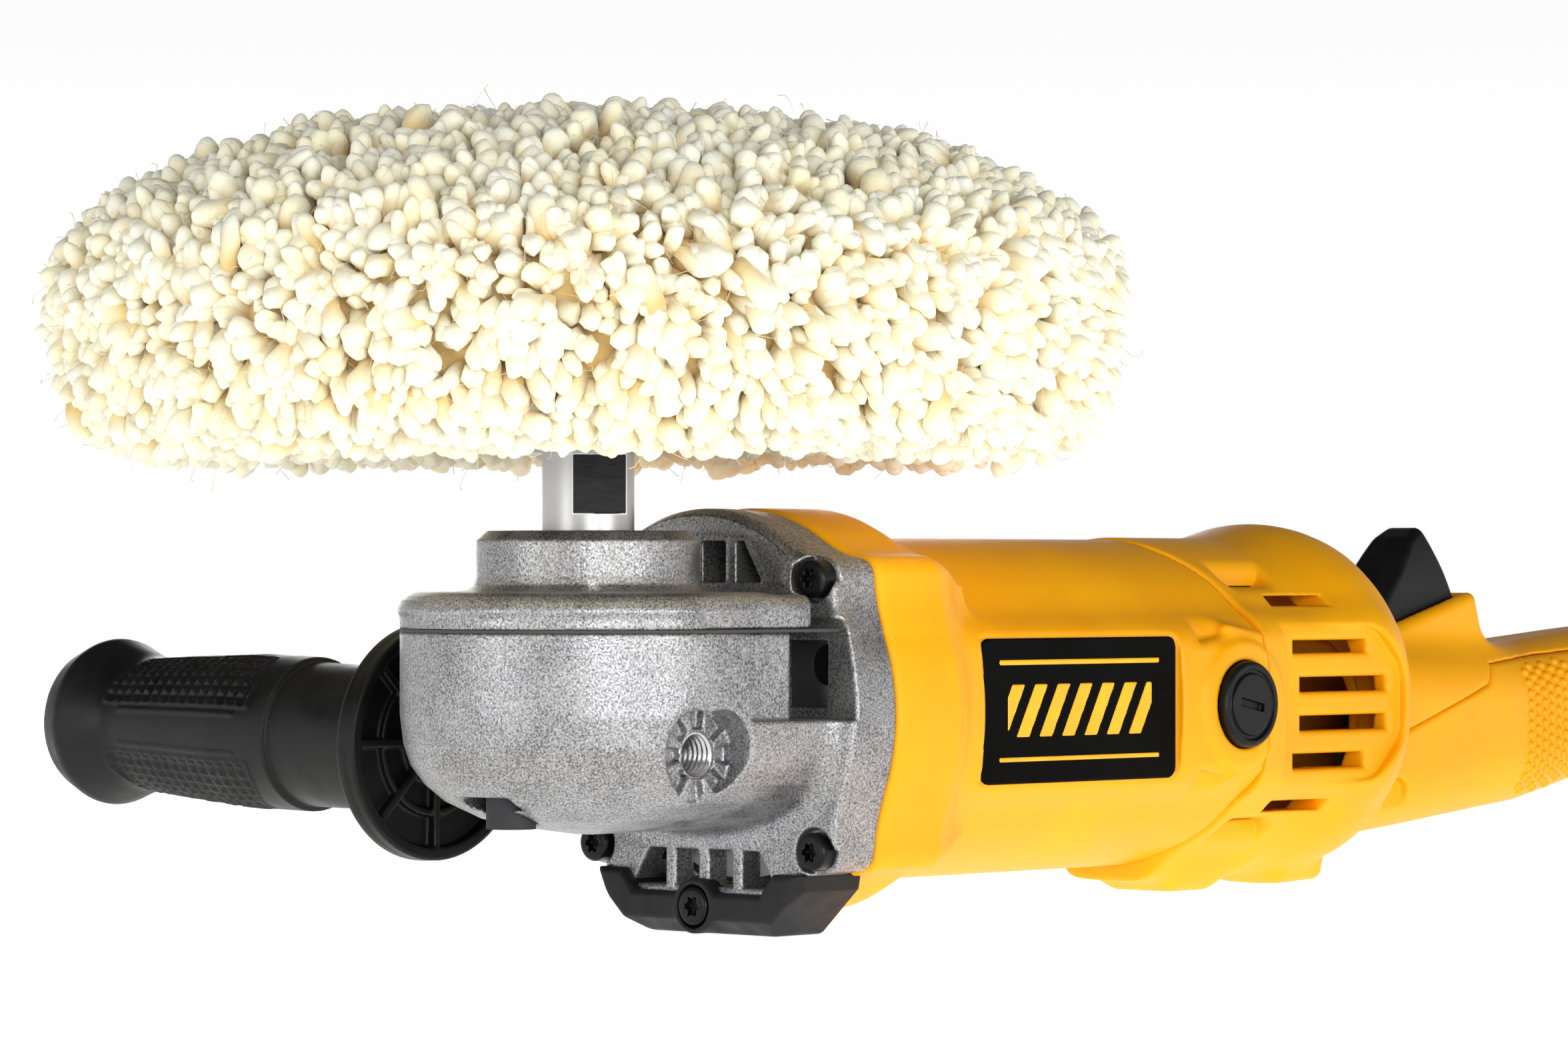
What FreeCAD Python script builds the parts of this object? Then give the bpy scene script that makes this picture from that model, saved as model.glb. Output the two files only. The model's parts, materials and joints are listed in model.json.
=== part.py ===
import FreeCAD, Part
import math
import os
import re

import Sketcher

# Rotary polisher, set down with its pad up: the way it stands on a bench.
# +Z runs along the spindle towards the pad, +X along the motor towards the rear handle,
# +Y along the side handle. The origin is under the middle of the whole tool.

Vector = FreeCAD.Vector
Rotation = FreeCAD.Rotation
doc = FreeCAD.newDocument("RotaryPolisher")
dims = doc.addObject("Spreadsheet::Sheet", "Dims")

SIZES = {
    # where the spindle axis stands in the part's own frame
    "origin_x": -152.1, "origin_y": -23.2,
    # gear case, cover and nose
    "case_rad": 36.2, "case_floor": 20.8, "case_top": 59.7, "case_end": 32,
    "floor_bend_x": 25, "floor_bend_z": 25.2, "floor_round": 25,
    "heel_x": 34.8, "heel_z": 31.5, "heel_round": 7, "waist_z": 42,
    "tunnel_half": 15, "window_start": 7, "window_floor": 42.9, "window_round": 2.5,
    "gasket_thick": 0.6, "cover_top": 66.9, "cover_round": 4, "cover_end": 22,
    "nose_rad": 21.5, "nose_top": 79.1, "nose_bevel": 2.3, "nose_foot": 3.5,
    "gear_room_rad": 20.9, "gear_room_low": 32.4, "gear_room_high": 41,
    "socket_floor": 21.6, "socket_face": 29, "star_rad": 8.65,
    # bell that joins the gear case to the motor housing
    "motor_z": 43.5, "bell_rad": 40, "bell_start": 32, "seam_x": 45, "bell_room_rad": 33,
    "bell_screw_y": 29.5, "bell_screw_dz": 26.4, "lobe_rad": 4.6, "bell_head_rad": 3.6,
    "vent_low": 9.6, "vent_high": 16.2, "top_vent_low": 69.6, "top_vent_high": 77,
    # spindle
    "bush_rad": 5, "seat_rad": 8, "bearing_seat": 8.5, "spindle_rad": 8.9, "flat_half": 7,
    "flat_low": 82.2, "flat_turn": -27, "thread_rad": 7, "spindle_low": 24, "spindle_high": 112,
    # gears: two stages, 2 to 1 and then 4 to 1
    "counter_z": 30, "spur_module": 1, "pinion_teeth": 9, "counter_teeth": 18,
    "bevel_module": 1, "bevel_pinion_teeth": 10, "ring_teeth": 40, "bevel_face": 5,
    "spur_low": 35, "spur_high": 41.5, "counter_shaft_rad": 3, "running_gap": 0.05,
    # motor
    "arm_shaft_rad": 5, "arm_tail_rad": 4, "arm_shaft_end": 181, "fan_low": 62, "fan_high": 72,
    "fan_rad": 29.5, "core_rad": 19.5, "core_low": 90, "core_high": 136, "winding_rad": 16.5,
    "winding_len": 5.5, "comm_rad": 12, "comm_low": 147, "comm_high": 165, "stator_rad": 31,
    "stator_bore": 20.3, "stator_low": 88, "stator_high": 138, "coil_len": 5,
    # motor housing
    "shell_rad": 34.5, "shell_wall": 3, "collar_end": 65, "collar_taper": 75, "split_x": 157,
    "brush_x": 156, "brush_z": 43.7, "boss_rad": 12.6, "boss_out": 37.4, "cap_rad": 9,
    "cap_face": 39.4, "cap_inner": 6.3, "label_low_x": 75, "label_high_x": 136,
    "label_low_z": 29, "label_high_z": 58, "label_face": 34.2,
    # rear housing
    "rear_rad": 38.6, "rear_peak_x": 203, "rear_end_x": 225.5, "rear_end_rad": 12, "rear_hip_x": 219,
    "rear_hip_rad": 36, "foot_low": 3.8, "slot_high": 2.9, "slot_start": 177, "slot_end": 206,
    # rear handle
    "handle_end": 402, "handle_wall": 2.8, "overmould": 1.2,
    # trigger, lock-on button, dial
    "trigger_half": 8, "trigger_pivot_x": 238, "trigger_pivot_z": 57, "trigger_pin_rad": 2,
    "dial_x": 257, "dial_z": 24.8, "dial_rad": 9.4, "dial_half": 3.5, "dial_pin_rad": 1.5,
    "lock_x": 288, "lock_z": 38, "lock_rad": 4.5,
    # spindle lock
    "stop_x": -20.7, "stop_rad": 4.75, "stop_low": 22.4, "stop_high": 29.8, "stop_pin_x": -13.3,
    "stop_pin_rad": 1.5, "stop_pin_high": 33.9,
    # pad
    "plate_rad": 78, "plate_low": 99, "plate_high": 105, "hub_rad": 13, "hub_low": 94,
    "hub_high": 114, "pad_rad": 101.5, "pad_low": 92, "pad_high": 157,
    # side handle, on its own axis
    "side_z": 36.6, "side_tilt": 1.4, "stud_rad": 4, "guard_near": 41.2, "guard_far": 46,
    "guard_rad": 23.5, "neck_rad": 14.4, "neck_end": 77, "side_end": 147.5,
    # bumper
    "bumper_front": 29.3, "bumper_back": 48.6, "bumper_top": 12.5, "bumper_half": 27.5,
    "bumper_foot_half": 17.1, "bumper_screw_z": 5.6,
}
for row, (alias, number) in enumerate(SIZES.items(), start=1):
    dims.set(f"A{row}", alias)
    dims.set(f"B{row}", str(number))
    dims.setAlias(f"B{row}", alias)
doc.recompute()

WORD = re.compile(r"[a-z][a-z_]+[a-z0-9]*")
bases = {}
nodes = []


def expression(text):
    """The sizes in a formula, named so that a document object can use them."""
    return WORD.sub(lambda found: f"Dims.{found[0]}" if found[0] in SIZES else found[0], str(text))


def value(text):
    """The number a formula gives."""
    return float(dims.evalExpression(expression(text)))


def bind(thing, **formulas):
    for name, formula in formulas.items():
        thing.setExpression(name, expression(formula))
    return thing


def put(thing, x=0, y=0, z=0, turn=None):
    """Place a thing at formulas for x, y and z, with an optional rotation."""
    if turn:
        thing.Placement = FreeCAD.Placement(Vector(0, 0, 0), turn)
    for letter, formula in zip("xyz", (x, y, z)):
        thing.setExpression(f"Placement.Base.{letter}", expression(formula))
    bases[thing.Name] = (x, y, z)
    return thing


# local Z to the given axis, and a sketch's plane to the one that holds it
ALONG = {"z": Rotation(), "x": Rotation(Vector(0, 1, 0), 90), "y": Rotation(Vector(1, 0, 0), -90)}
SPIN = {"z": Rotation(Vector(1, 0, 0), 90), "x": Rotation(Vector(1, 0, 0), 90),
        "y": Rotation(Vector(1, 1, 1), 120)}
NORMAL = {"z": Rotation(), "x": Rotation(Vector(1, 1, 1), 120), "y": Rotation(Vector(1, 0, 0), 90)}


def centre(axis, at, low=0):
    """Formulas for a point at low on the axis through at."""
    first, second = at
    return {"z": (first, second, low), "x": (low, first, second), "y": (first, low, second)}[axis]


def cylinder(radius, low, high, axis="z", at=(0, 0), angle=None):
    thing = doc.addObject("Part::Cylinder", "Cylinder")
    bind(thing, Radius=radius, Height=f"({high}) - ({low})")
    if angle:
        bind(thing, Angle=angle)
    return put(thing, *centre(axis, at, low), turn=ALONG[axis])


def cone(radius_low, radius_high, low, high, axis="z", at=(0, 0)):
    thing = doc.addObject("Part::Cone", "Cone")
    bind(thing, Radius1=radius_low, Radius2=radius_high, Height=f"({high}) - ({low})")
    return put(thing, *centre(axis, at, low), turn=ALONG[axis])


def box(x_low, x_high, y_low, y_high, z_low, z_high):
    thing = doc.addObject("Part::Box", "Box")
    bind(thing, Length=f"({x_high}) - ({x_low})", Width=f"({y_high}) - ({y_low})",
         Height=f"({z_high}) - ({z_low})")
    return put(thing, x_low, y_low, z_low)


def cut(thing, *tools):
    for tool in tools:
        made = doc.addObject("Part::Cut", "Cut")
        made.Base = thing
        made.Tool = tool
        thing = put(made)
    return thing


def many(kind, things):
    made = doc.addObject(kind, kind.split("::")[1])
    if kind == "Part::Compound":
        made.Links = list(things)
    else:
        made.Shapes = list(things)
    return put(made)


def fuse(*things):
    return many("Part::MultiFuse", things)


def common(*things):
    return many("Part::MultiCommon", things)


def group(*things):
    return many("Part::Compound", things)


def draw(sketch, points):
    """Close a constrained outline through points of formulas (x, y) or (x, y, corner radius)."""
    count = len(points)
    corners = [Vector(value(point[0]), value(point[1]), 0) for point in points]
    rounds = [value(point[2]) if len(point) > 2 else 0 for point in points]
    ends = []
    for index, corner in enumerate(corners):
        back = (corners[index - 1] - corner).normalize()
        ahead = (corners[(index + 1) % count] - corner).normalize()
        half = math.acos(max(-1, min(1, back.dot(ahead)))) / 2
        run = rounds[index] / math.tan(half)
        middle = corner + (back + ahead).normalize() * (rounds[index] / math.sin(half) - rounds[index])
        ends.append((corner + back * run, middle, corner + ahead * run))
    lines = [sketch.addGeometry(Part.LineSegment(ends[index][2], ends[(index + 1) % count][0]), False)
             for index in range(count)]

    def fix(shape, vertex, index):
        for kind, place in (("DistanceX", 0), ("DistanceY", 1)):
            rule = sketch.addConstraint(
                Sketcher.Constraint(kind, -1, 1, shape, vertex, corners[index][place]))
            sketch.setExpression(f"Constraints[{rule}]", expression(points[index][place]))

    for index in range(count):
        before, after = lines[index - 1], lines[index]
        if not rounds[index]:
            sketch.addConstraint(Sketcher.Constraint("Coincident", before, 2, after, 1))
            fix(after, 1, index)
            continue
        start, middle, end = ends[index]
        arc = sketch.addGeometry(Part.Arc(start, middle, end), False)
        first = 1 if (sketch.getPoint(arc, 1) - start).Length < 1e-6 else 2
        sketch.addConstraint(Sketcher.Constraint("Tangent", before, 2, arc, first))
        sketch.addConstraint(Sketcher.Constraint("Tangent", arc, 3 - first, after, 1))
        rule = sketch.addConstraint(Sketcher.Constraint("Radius", arc, rounds[index]))
        sketch.setExpression(f"Constraints[{rule}]", expression(points[index][2]))
        corner = sketch.addGeometry(Part.Point(corners[index]), True)
        fix(corner, 1, index)
        sketch.addConstraint(Sketcher.Constraint("PointOnObject", corner, 1, before))
        sketch.addConstraint(Sketcher.Constraint("PointOnObject", corner, 1, after))


def drawn_body(points):
    body = doc.addObject("PartDesign::Body", "Body")
    sketch = body.newObject("Sketcher::SketchObject", "Sketch")
    plane = [part for part in body.Origin.OriginFeatures if part.Role == "XY_Plane"][0]
    sketch.AttachmentSupport = [(plane, "")]
    sketch.MapMode = "FlatFace"
    draw(sketch, points)
    return body, sketch


def turned(points, axis="z", at=(0, 0)):
    """A body turned about an axis: points are (radius, z) about z, (x, radius) about x, (y, radius) about y."""
    body, sketch = drawn_body(points)
    feature = body.newObject("PartDesign::Revolution", "Revolution")
    feature.Profile = sketch
    role = "Y_Axis" if axis == "z" else "X_Axis"
    line = [part for part in body.Origin.OriginFeatures if part.Role == role][0]
    feature.ReferenceAxis = (line, [""])
    feature.Angle = 360
    return put(body, *centre(axis, at), turn=SPIN[axis])


def prism(points, low, high, axis="z"):
    """A body padded along an axis: points are (x, y) for z, (y, z) for x and (x, z) for y."""
    body, sketch = drawn_body(points)
    feature = body.newObject("PartDesign::Pad", "Pad")
    feature.Profile = sketch
    bind(feature, Length=f"({high}) - ({low})")
    start = high if axis == "y" else low
    return put(body, *centre(axis, (0, 0), start), turn=NORMAL[axis])


def lofted(sections, inset=0):
    """A solid through rounded sections across X: (x, half width, low z, high z, corner radius)."""
    sketches = []
    for x, half, low, high, corner in sections:
        sketch = doc.addObject("Sketcher::SketchObject", "Section")
        side, floor, roof = f"({half}) - {inset}", f"({low}) + {inset}", f"({high}) - {inset}"
        bend = f"({corner}) - {inset} / 2"
        draw(sketch, [(f"-({side})", floor, bend), (side, floor, bend),
                      (side, roof, bend), (f"-({side})", roof, bend)])
        sketches.append(put(sketch, x, turn=NORMAL["x"]))
    made = doc.addObject("Part::Loft", "Loft")
    made.Sections = sketches
    made.Solid = True
    return put(made)


def solid(shape, x=0, y=0, z=0, turn=None):
    """A shape made by Part's own functions, set down at x, y and z."""
    made = doc.addObject("Part::Feature", "Solid")
    made.Shape = shape
    return put(made, x, y, z, turn=turn)


def mirrored_pair(maker):
    """The same thing on the near and the far side."""
    return [maker(-1), maker(1)]


def node(name, thing, *more):
    """Name a sub-part and stand it in the part's own frame."""
    if more:
        thing = group(thing, *more)
    x, y, z = bases[thing.Name]
    put_x, put_y = f"({x}) + origin_x", f"({y}) + origin_y"
    thing.setExpression("Placement.Base.x", expression(put_x))
    thing.setExpression("Placement.Base.y", expression(put_y))
    thing.Label = name
    nodes.append(thing)
    return thing


# ---------------------------------------------------------------- gear case

FLOOR = [("floor_bend_x", "floor_bend_z", "floor_round"), ("heel_x", "heel_z", "heel_round"),
         ("case_rad", "waist_z", 8)]


def bell_outline(start, end, radius):
    """The round bell with its four screw lobes, along X."""
    things = [cylinder(radius, start, end, "x", (0, "motor_z"))]
    for side in (-1, 1):
        for rise in (-1, 1):
            spot = (f"{side} * bell_screw_y", f"motor_z + {rise} * bell_screw_dz")
            things.append(cylinder("lobe_rad", start, end, "x", spot))
    return fuse(*things)


def bell_holes(radius, start, end):
    return [cylinder(radius, start, end, "x", (f"{side} * bell_screw_y", f"motor_z + {rise} * bell_screw_dz"))
            for side in (-1, 1) for rise in (-1, 1)]


def vent_windows(low, high, narrow_end):
    """Four vent windows in a row through the bell's face; the outer two narrow at one end."""
    inner, mid_bar, outer, end_wide, end_narrow = 1.3, 7.6, 10.3, 19.1, 16
    things = []
    for side in (-1, 1):
        things.append(box("bell_start - 1", "seam_x - 5", min(side * inner, side * mid_bar),
                          max(side * inner, side * mid_bar), low, high))
        low_end, high_end = (end_narrow, end_wide) if narrow_end == "low" else (end_wide, end_narrow)
        corners = [(side * outer, low), (side * low_end, low), (side * high_end, high), (side * outer, high)]
        things.append(prism(corners, "bell_start - 1", "seam_x - 5", "x"))
    return things


def on_side_axis(*things):
    """Stand things made about +Y on the side handle's own axis, which rises a little outward."""
    made = group(*things)
    made.Placement = FreeCAD.Placement(Vector(), Rotation(Vector(1, 0, 0), value("side_tilt")))
    return put(made, 0, 0, "side_z")


def make_gear_case():
    round_part = turned([(0, "case_floor")] + FLOOR + [("case_rad", "case_top"), (0, "case_top")])
    left = [(f"-({p[0]})",) + p[1:] for p in reversed(FLOOR)]
    section = [(0, "case_floor")] + FLOOR + [("case_rad", "window_floor"), ("-case_rad", "window_floor")] + left
    tail = prism(section, 0, "case_end + 2", "x")
    tunnel = box(0, "case_end + 2", "-tunnel_half", "tunnel_half", "window_floor - 1", "case_top")
    ledge = box(0, "case_end + 2", "-case_rad", "case_rad", "case_top - 2.2", "case_top")
    windows = [box("window_start", "case_end + 9", "tunnel_half", "case_rad + 5", "window_floor", "case_top - 2.2"),
               box("window_start", "case_end + 9", "-case_rad - 5", "-tunnel_half", "window_floor",
                   "case_top - 2.2")]
    shell = fuse(cut(round_part, *windows), tail, tunnel, ledge, bell_outline("bell_start", "seam_x", "bell_rad"))
    rooms = [
        cylinder("gear_room_rad", "gear_room_low", "gear_room_high"),
        cylinder(12.5, "gear_room_low", "case_top + 1"),
        cylinder(9.5, "case_floor + 3", "gear_room_low + 1"),
        box(11, "case_end + 6", -8.5, 8.5, 23.2, "gear_room_high"),
        cylinder("stop_rad + 0.1", 15, "gear_room_low + 1", "z", ("stop_x", 0)),
        box("stop_x", "stop_pin_x + 2.1", -3, 3, 27.2, "gear_room_low + 1"),
        cylinder("bell_room_rad", "bell_start + 2.6", "seam_x + 1", "x", (0, "motor_z")),
    ]
    rooms.append(cylinder("stud_rad", -40, "-socket_floor", "y", (0, "side_z")))
    rooms.append(cylinder("star_rad", -40, "-socket_face", "y", (0, "side_z")))
    rooms.append(on_side_axis(cylinder("stud_rad", "socket_floor", 40, "y")))
    rooms.append(on_side_axis(cylinder("star_rad", "socket_face", 40, "y")))
    rooms.append(cylinder(2, "bell_start - 2", "bell_start + 9", "x", (0, "bumper_screw_z")))
    for index in range(8):
        notch = box(-1.1, 1.1, "star_rad - 3.5", "star_rad - 0.6", 0, 2.4)
        turn = Rotation(Vector(1, 0, 0), 90) * Rotation(Vector(0, 0, 1), 45 * index)
        corner = turn.multVec(Vector(-1.1, value("star_rad") - 3.5, 0))
        notch.Placement = FreeCAD.Placement(corner, turn)
        for letter, text in zip("xyz", (f"{corner.x}", f"{corner.y} - socket_face + 2.2", f"{corner.z} + side_z")):
            notch.setExpression(f"Placement.Base.{letter}", expression(text))
        rooms.append(notch)
    holes = bell_holes(2.6, "bell_start - 1", "seam_x + 1")
    seats = bell_holes("bell_head_rad + 0.6", "bell_start - 6", "bell_start + 2.4")
    vents = vent_windows("vent_low", "vent_high", "low") + vent_windows("top_vent_low", "top_vent_high", "high")
    air = [box("case_end - 2", "bell_start + 4", 17, 27, "window_floor + 2", "case_top - 4"),
           box("case_end - 2", "bell_start + 4", -27, -17, "window_floor + 2", "case_top - 4")]
    return cut(shell, *rooms, *holes, *seats, *vents, *air)


def make_cover():
    plate_low = "case_top + gasket_thick"
    plate = turned([(0, plate_low), ("case_rad", plate_low), ("case_rad", "cover_top", "cover_round"), (0, "cover_top")])
    back = prism([("-case_rad", plate_low), ("case_rad", plate_low), ("case_rad", "cover_top", "cover_round"),
                  ("-case_rad", "cover_top", "cover_round")], 0, "bell_start", "x")
    foot = turned([(0, "cover_top - 1"), ("nose_rad + nose_foot + 1", "cover_top - 1"),
                   ("nose_rad + nose_foot + 1", "cover_top"), ("nose_rad", "cover_top", "nose_foot"),
                   ("nose_rad", "nose_top - nose_bevel"), ("nose_rad - nose_bevel", "nose_top"), (0, "nose_top")])
    heads = [cylinder("bell_head_rad + 0.6", "bell_start - 6", "bell_start + 1", "x",
                      (f"{side} * bell_screw_y", "motor_z + bell_screw_dz")) for side in (-1, 1)]
    return cut(fuse(plate, back, foot), box("bell_start", "bell_start + 20", -40, 40, 50, 90),
               cylinder(17, 59, "nose_top - 5.4"), cylinder(14.6, 70, "nose_top + 1"),
               cylinder(12.6, 50, 62), *heads)


def make_gasket():
    ring = cylinder("case_rad", "case_top", "case_top + gasket_thick")
    back = box(0, "bell_start", "-case_rad", "case_rad", "case_top", "case_top + gasket_thick")
    return cut(fuse(ring, back), cylinder(17.5, 50, 70), box("bell_start", "bell_start + 20", -40, 40, 50, 90))


def cap_screw(head, head_len, shank, length, drive=True):
    """A round-headed screw along +X from the underside of its head at 0, with a six-lobe socket."""
    body = fuse(cylinder(head, f"-({head_len})", 0, "x"), cylinder(shank, 0, length, "x"))
    return cut(body, cylinder(head * 0.42, f"-({head_len}) - 1", -0.8, "x")) if drive else body


def stand(thing, x, y, z, turn=None):
    """A copy of a thing at another place, as one more solid."""
    made = doc.addObject("Part::Compound", "Stand")
    made.Links = [thing]
    return put(made, x, y, z, turn=turn)


node("gear_case", make_gear_case())
node("gear_case_cover", make_cover())
node("cover_gasket", make_gasket())
node("bell_screws", *[stand(cap_screw(3.6, 2.9, 2.4, 26), "bell_start + 2.4", f"{side} * bell_screw_y",
                            f"motor_z + {rise} * bell_screw_dz") for side in (-1, 1) for rise in (-1, 1)])

# ---------------------------------------------------------------- bearings


def bearing(inner, outer, low, high, axis="z", at=(0, 0), balls=9):
    """Inner race, outer race and balls. The inner race has a running gap to its shaft."""
    span = f"(({outer}) - ({inner}))"
    inner_race = cut(cylinder(f"{inner} + 0.3 * {span}", low, high, axis, at),
                     cylinder(f"{inner} + running_gap", f"{low} - 1", f"{high} + 1", axis, at))
    outer_race = cut(cylinder(outer, low, high, axis, at),
                     cylinder(f"{outer} - 0.3 * {span}", f"{low} - 1", f"{high} + 1", axis, at))
    pitch, middle = value(f"{inner} + 0.5 * {span}"), value(f"(({low}) + ({high})) / 2")
    rolling = []
    for index in range(balls):
        turn = math.radians(360 * index / balls)
        ball = doc.addObject("Part::Sphere", "Ball")
        bind(ball, Radius=f"0.17 * {span}")
        first = f"{at[0]} + {pitch * math.cos(turn):.4f}"
        second = f"{at[1]} + {pitch * math.sin(turn):.4f}"
        rolling.append(put(ball, *centre(axis, (first, second), f"{middle:.4f}")))
    return [inner_race, outer_race] + rolling


def ring(outer, inner, low, high, axis="z", at=(0, 0)):
    return cut(cylinder(outer, low, high, axis, at), cylinder(inner, f"{low} - 1", f"{high} + 1", axis, at))


node("spindle_bearing", *bearing("bearing_seat", 17, 61.5, 73.2))
node("spindle_seal", cut(cylinder(14.5, "nose_top - 5", "nose_top - 1.2"),
                         cone("spindle_rad + 1.6", "spindle_rad + 0.1", "nose_top - 5.1", "nose_top - 1.1")))
node("spindle_bush", ring(9.4, "bush_rad + running_gap", "case_floor + 3.2", "gear_room_low - 0.2"))
node("counter_bearing", ring(6.4, "counter_shaft_rad + running_gap", 26, 32, "x", (0, "counter_z")))
node("bearing_carrier", cut(box(26, 32, -8.4, 8.4, 23.3, "gear_room_high - 0.1"),
                            cylinder(6.4, 20, 40, "x", (0, "counter_z"))))

# ---------------------------------------------------------------- gears


def involute(angle):
    return math.tan(angle) - angle


def half_tooth(radius, pitch_radius, teeth, slack):
    """Half the angle of an involute tooth at a radius, thinned by some slack at the pitch circle."""
    pressure = math.radians(20)
    base = pitch_radius * math.cos(pressure)
    flank = math.acos(base / max(radius, base))
    return math.pi / (2 * teeth) - slack / pitch_radius + involute(pressure) - involute(flank)


def spur_teeth(teeth, module, tip, root, phase=0.0, slack=0.14, steps=6):
    """The closed outline of a spur gear about the origin of the YZ plane."""
    pitch_radius = teeth * module / 2
    low, high = pitch_radius - root * module, pitch_radius + tip * module
    points = []
    for tooth in range(teeth):
        middle = phase + 2 * math.pi * tooth / teeth
        radii = [low + (high - low) * step / steps for step in range(steps + 1)]
        flank = [(radius, half_tooth(radius, pitch_radius, teeth, slack)) for radius in radii]
        for radius, half in flank:
            points.append((radius, middle - half))
        for radius, half in reversed(flank):
            points.append((radius, middle + half))
    wire = [Vector(0, radius * math.cos(turn), radius * math.sin(turn)) for radius, turn in points]
    return Part.makePolygon(wire + [wire[0]])


def spur_gear(teeth, tip, root, low, high, centre_z, phase):
    outline = Part.Face(spur_teeth(teeth, value("spur_module"), tip, root, phase))
    gear = outline.extrude(Vector(value(f"{high} - ({low})"), 0, 0))
    gear.translate(Vector(value(low), 0, value(centre_z)))
    return gear


def bevel_teeth(teeth, mate, side, spin, steps=4):
    """Straight bevel teeth on pitch cones that meet at the crossing of the two shafts.

    side is the direction of the gear's own axis from the crossing, spin the axis its teeth repeat about.
    """
    module, face = value("bevel_module"), value("bevel_face")
    cone_angle = math.atan2(teeth, mate)
    pitch_radius = teeth * module / 2
    outer = pitch_radius / math.sin(cone_angle)
    back_radius = pitch_radius / math.cos(cone_angle)
    virtual = teeth / math.cos(cone_angle)
    tip, root = 0.8 * module, 1.35 * module
    apex = Vector(0, 0, value("counter_z"))
    out = Vector(0, 0, 1) if side.x else Vector(1, 0, 0)
    along = side * math.cos(cone_angle) + out * math.sin(cone_angle)
    rise = out * math.cos(cone_angle) - side * math.sin(cone_angle)
    across = Vector(0, 1, 0)
    heights = [-root + (root + tip) * step / steps for step in range(steps + 1)]
    wires = []
    for distance in (outer, outer - face):
        scale = distance / outer
        right = []
        for height in heights:
            radius = back_radius + height
            half = radius * math.sin(half_tooth(radius, back_radius, virtual, 0.13))
            right.append((height, half))
        points = [apex + (along * outer + rise * height + across * half) * scale for height, half in right]
        points += [apex + (along * outer + rise * height - across * half) * scale
                   for height, half in reversed(right)]
        wires.append(Part.makePolygon(points + [points[0]]))
    tooth = Part.makeLoft(wires, True, True)
    solids = []
    for index in range(teeth):
        copy = tooth.copy()
        copy.rotate(apex, spin, 360 * (index + spin.z / 2) / teeth)
        solids.append(copy)
    return solids


def turned_shape(points, axis):
    """A plain turned solid about Z, or about the counter shaft's own axis along X."""
    if axis == "z":
        wire = [Vector(radius, 0, height) for radius, height in points]
        base, line = Vector(0, 0, 0), Vector(0, 0, 1)
    else:
        base, line = Vector(0, 0, value("counter_z")), Vector(1, 0, 0)
        wire = [base + Vector(place, 0, radius) for place, radius in points]
    return Part.Face(Part.makePolygon(wire + [wire[0]])).revolve(base, line, 360)


def make_ring_gear():
    seat, top = value("seat_rad"), value("gear_room_high - 0.6")
    body = turned_shape([(seat, 34.6), (14.4, 34.6), (14.9, 34.75), (19.7, 36.15), (20.2, 36.3), (20.2, top),
                         (11.5, top), (11.5, 48), (seat, 48)], "z")
    ring_teeth = bevel_teeth(int(value("ring_teeth")), int(value("bevel_pinion_teeth")),
                             Vector(0, 0, 1), Vector(0, 0, 1))
    gear = body.multiFuse(ring_teeth)
    holes = []
    for index in range(12):
        turn = math.radians(30 * index)
        reach = -value("stop_pin_x")
        spot = Vector(reach * math.cos(turn), reach * math.sin(turn), 30)
        holes.append(Part.makeCylinder(value("stop_pin_rad") + 0.5, 20, spot))
    return gear.cut(holes)


def make_counter_shaft():
    shaft = value("counter_shaft_rad")
    body = turned_shape([(13, 0), (13, 2.2), (15.1, 2.2), (15.1, 2.9), (20.3, 3.85), (24.5, 3.85), (24.5, shaft),
                         (46.2, shaft), (46.2, 0)], "x")
    pinion_teeth = bevel_teeth(int(value("bevel_pinion_teeth")), int(value("ring_teeth")),
                               Vector(1, 0, 0), Vector(1, 0, 0))
    return body.multiFuse(pinion_teeth)


def make_counter_gear():
    gear = spur_gear(int(value("counter_teeth")), 0.75, 1.25, "spur_low", "spur_high", "counter_z", math.pi / 2)
    bore = Part.makeCylinder(value("counter_shaft_rad"), 30, Vector(30, 0, value("counter_z")), Vector(1, 0, 0))
    return gear.cut(bore)


def make_armature_shaft():
    teeth = int(value("pinion_teeth"))
    pinion = spur_gear(teeth, 0.8, 1.3, "spur_low", "spur_high + 1", "motor_z", math.pi / 2)
    middle = value("motor_z")
    line = Vector(1, 0, 0)
    thick, thin = value("arm_shaft_rad"), value("arm_tail_rad")
    start, shoulder, end = value("spur_high + 1"), value("comm_high + 1"), value("arm_shaft_end")
    main = Part.makeCylinder(thick, shoulder - start, Vector(start, 0, middle), line)
    tail = Part.makeCylinder(thin, end - shoulder, Vector(shoulder, 0, middle), line)
    return pinion.multiFuse([main, tail])


def make_spindle():
    rod = turned([(0, "spindle_low"), ("bush_rad", "spindle_low"), ("bush_rad", 33.2), ("seat_rad", 33.2),
                  ("seat_rad", 58), ("bearing_seat", 58), ("bearing_seat", 73.5), ("spindle_rad", 73.5),
                  ("spindle_rad", 94), ("thread_rad", 94), ("thread_rad", "spindle_high"), (0, "spindle_high")])
    flats = []
    for side in (0, 180):
        slab = box(-20, 20, "flat_half", "flat_half + 10", "flat_low", 94)
        turn = Rotation(Vector(0, 0, 1), value("flat_turn") + side)
        corner = turn.multVec(Vector(-20, value("flat_half"), value("flat_low")))
        slab.Placement = FreeCAD.Placement(corner, turn)
        for letter in "xyz":
            slab.setExpression(f"Placement.Base.{letter}", None)
        flats.append(slab)
    return cut(rod, *flats)


node("spindle", make_spindle())
node("ring_gear", solid(make_ring_gear()))
node("counter_shaft", solid(make_counter_shaft()))
node("counter_gear", solid(make_counter_gear()))

# ---------------------------------------------------------------- motor

MOTOR = (0, "motor_z")


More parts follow.
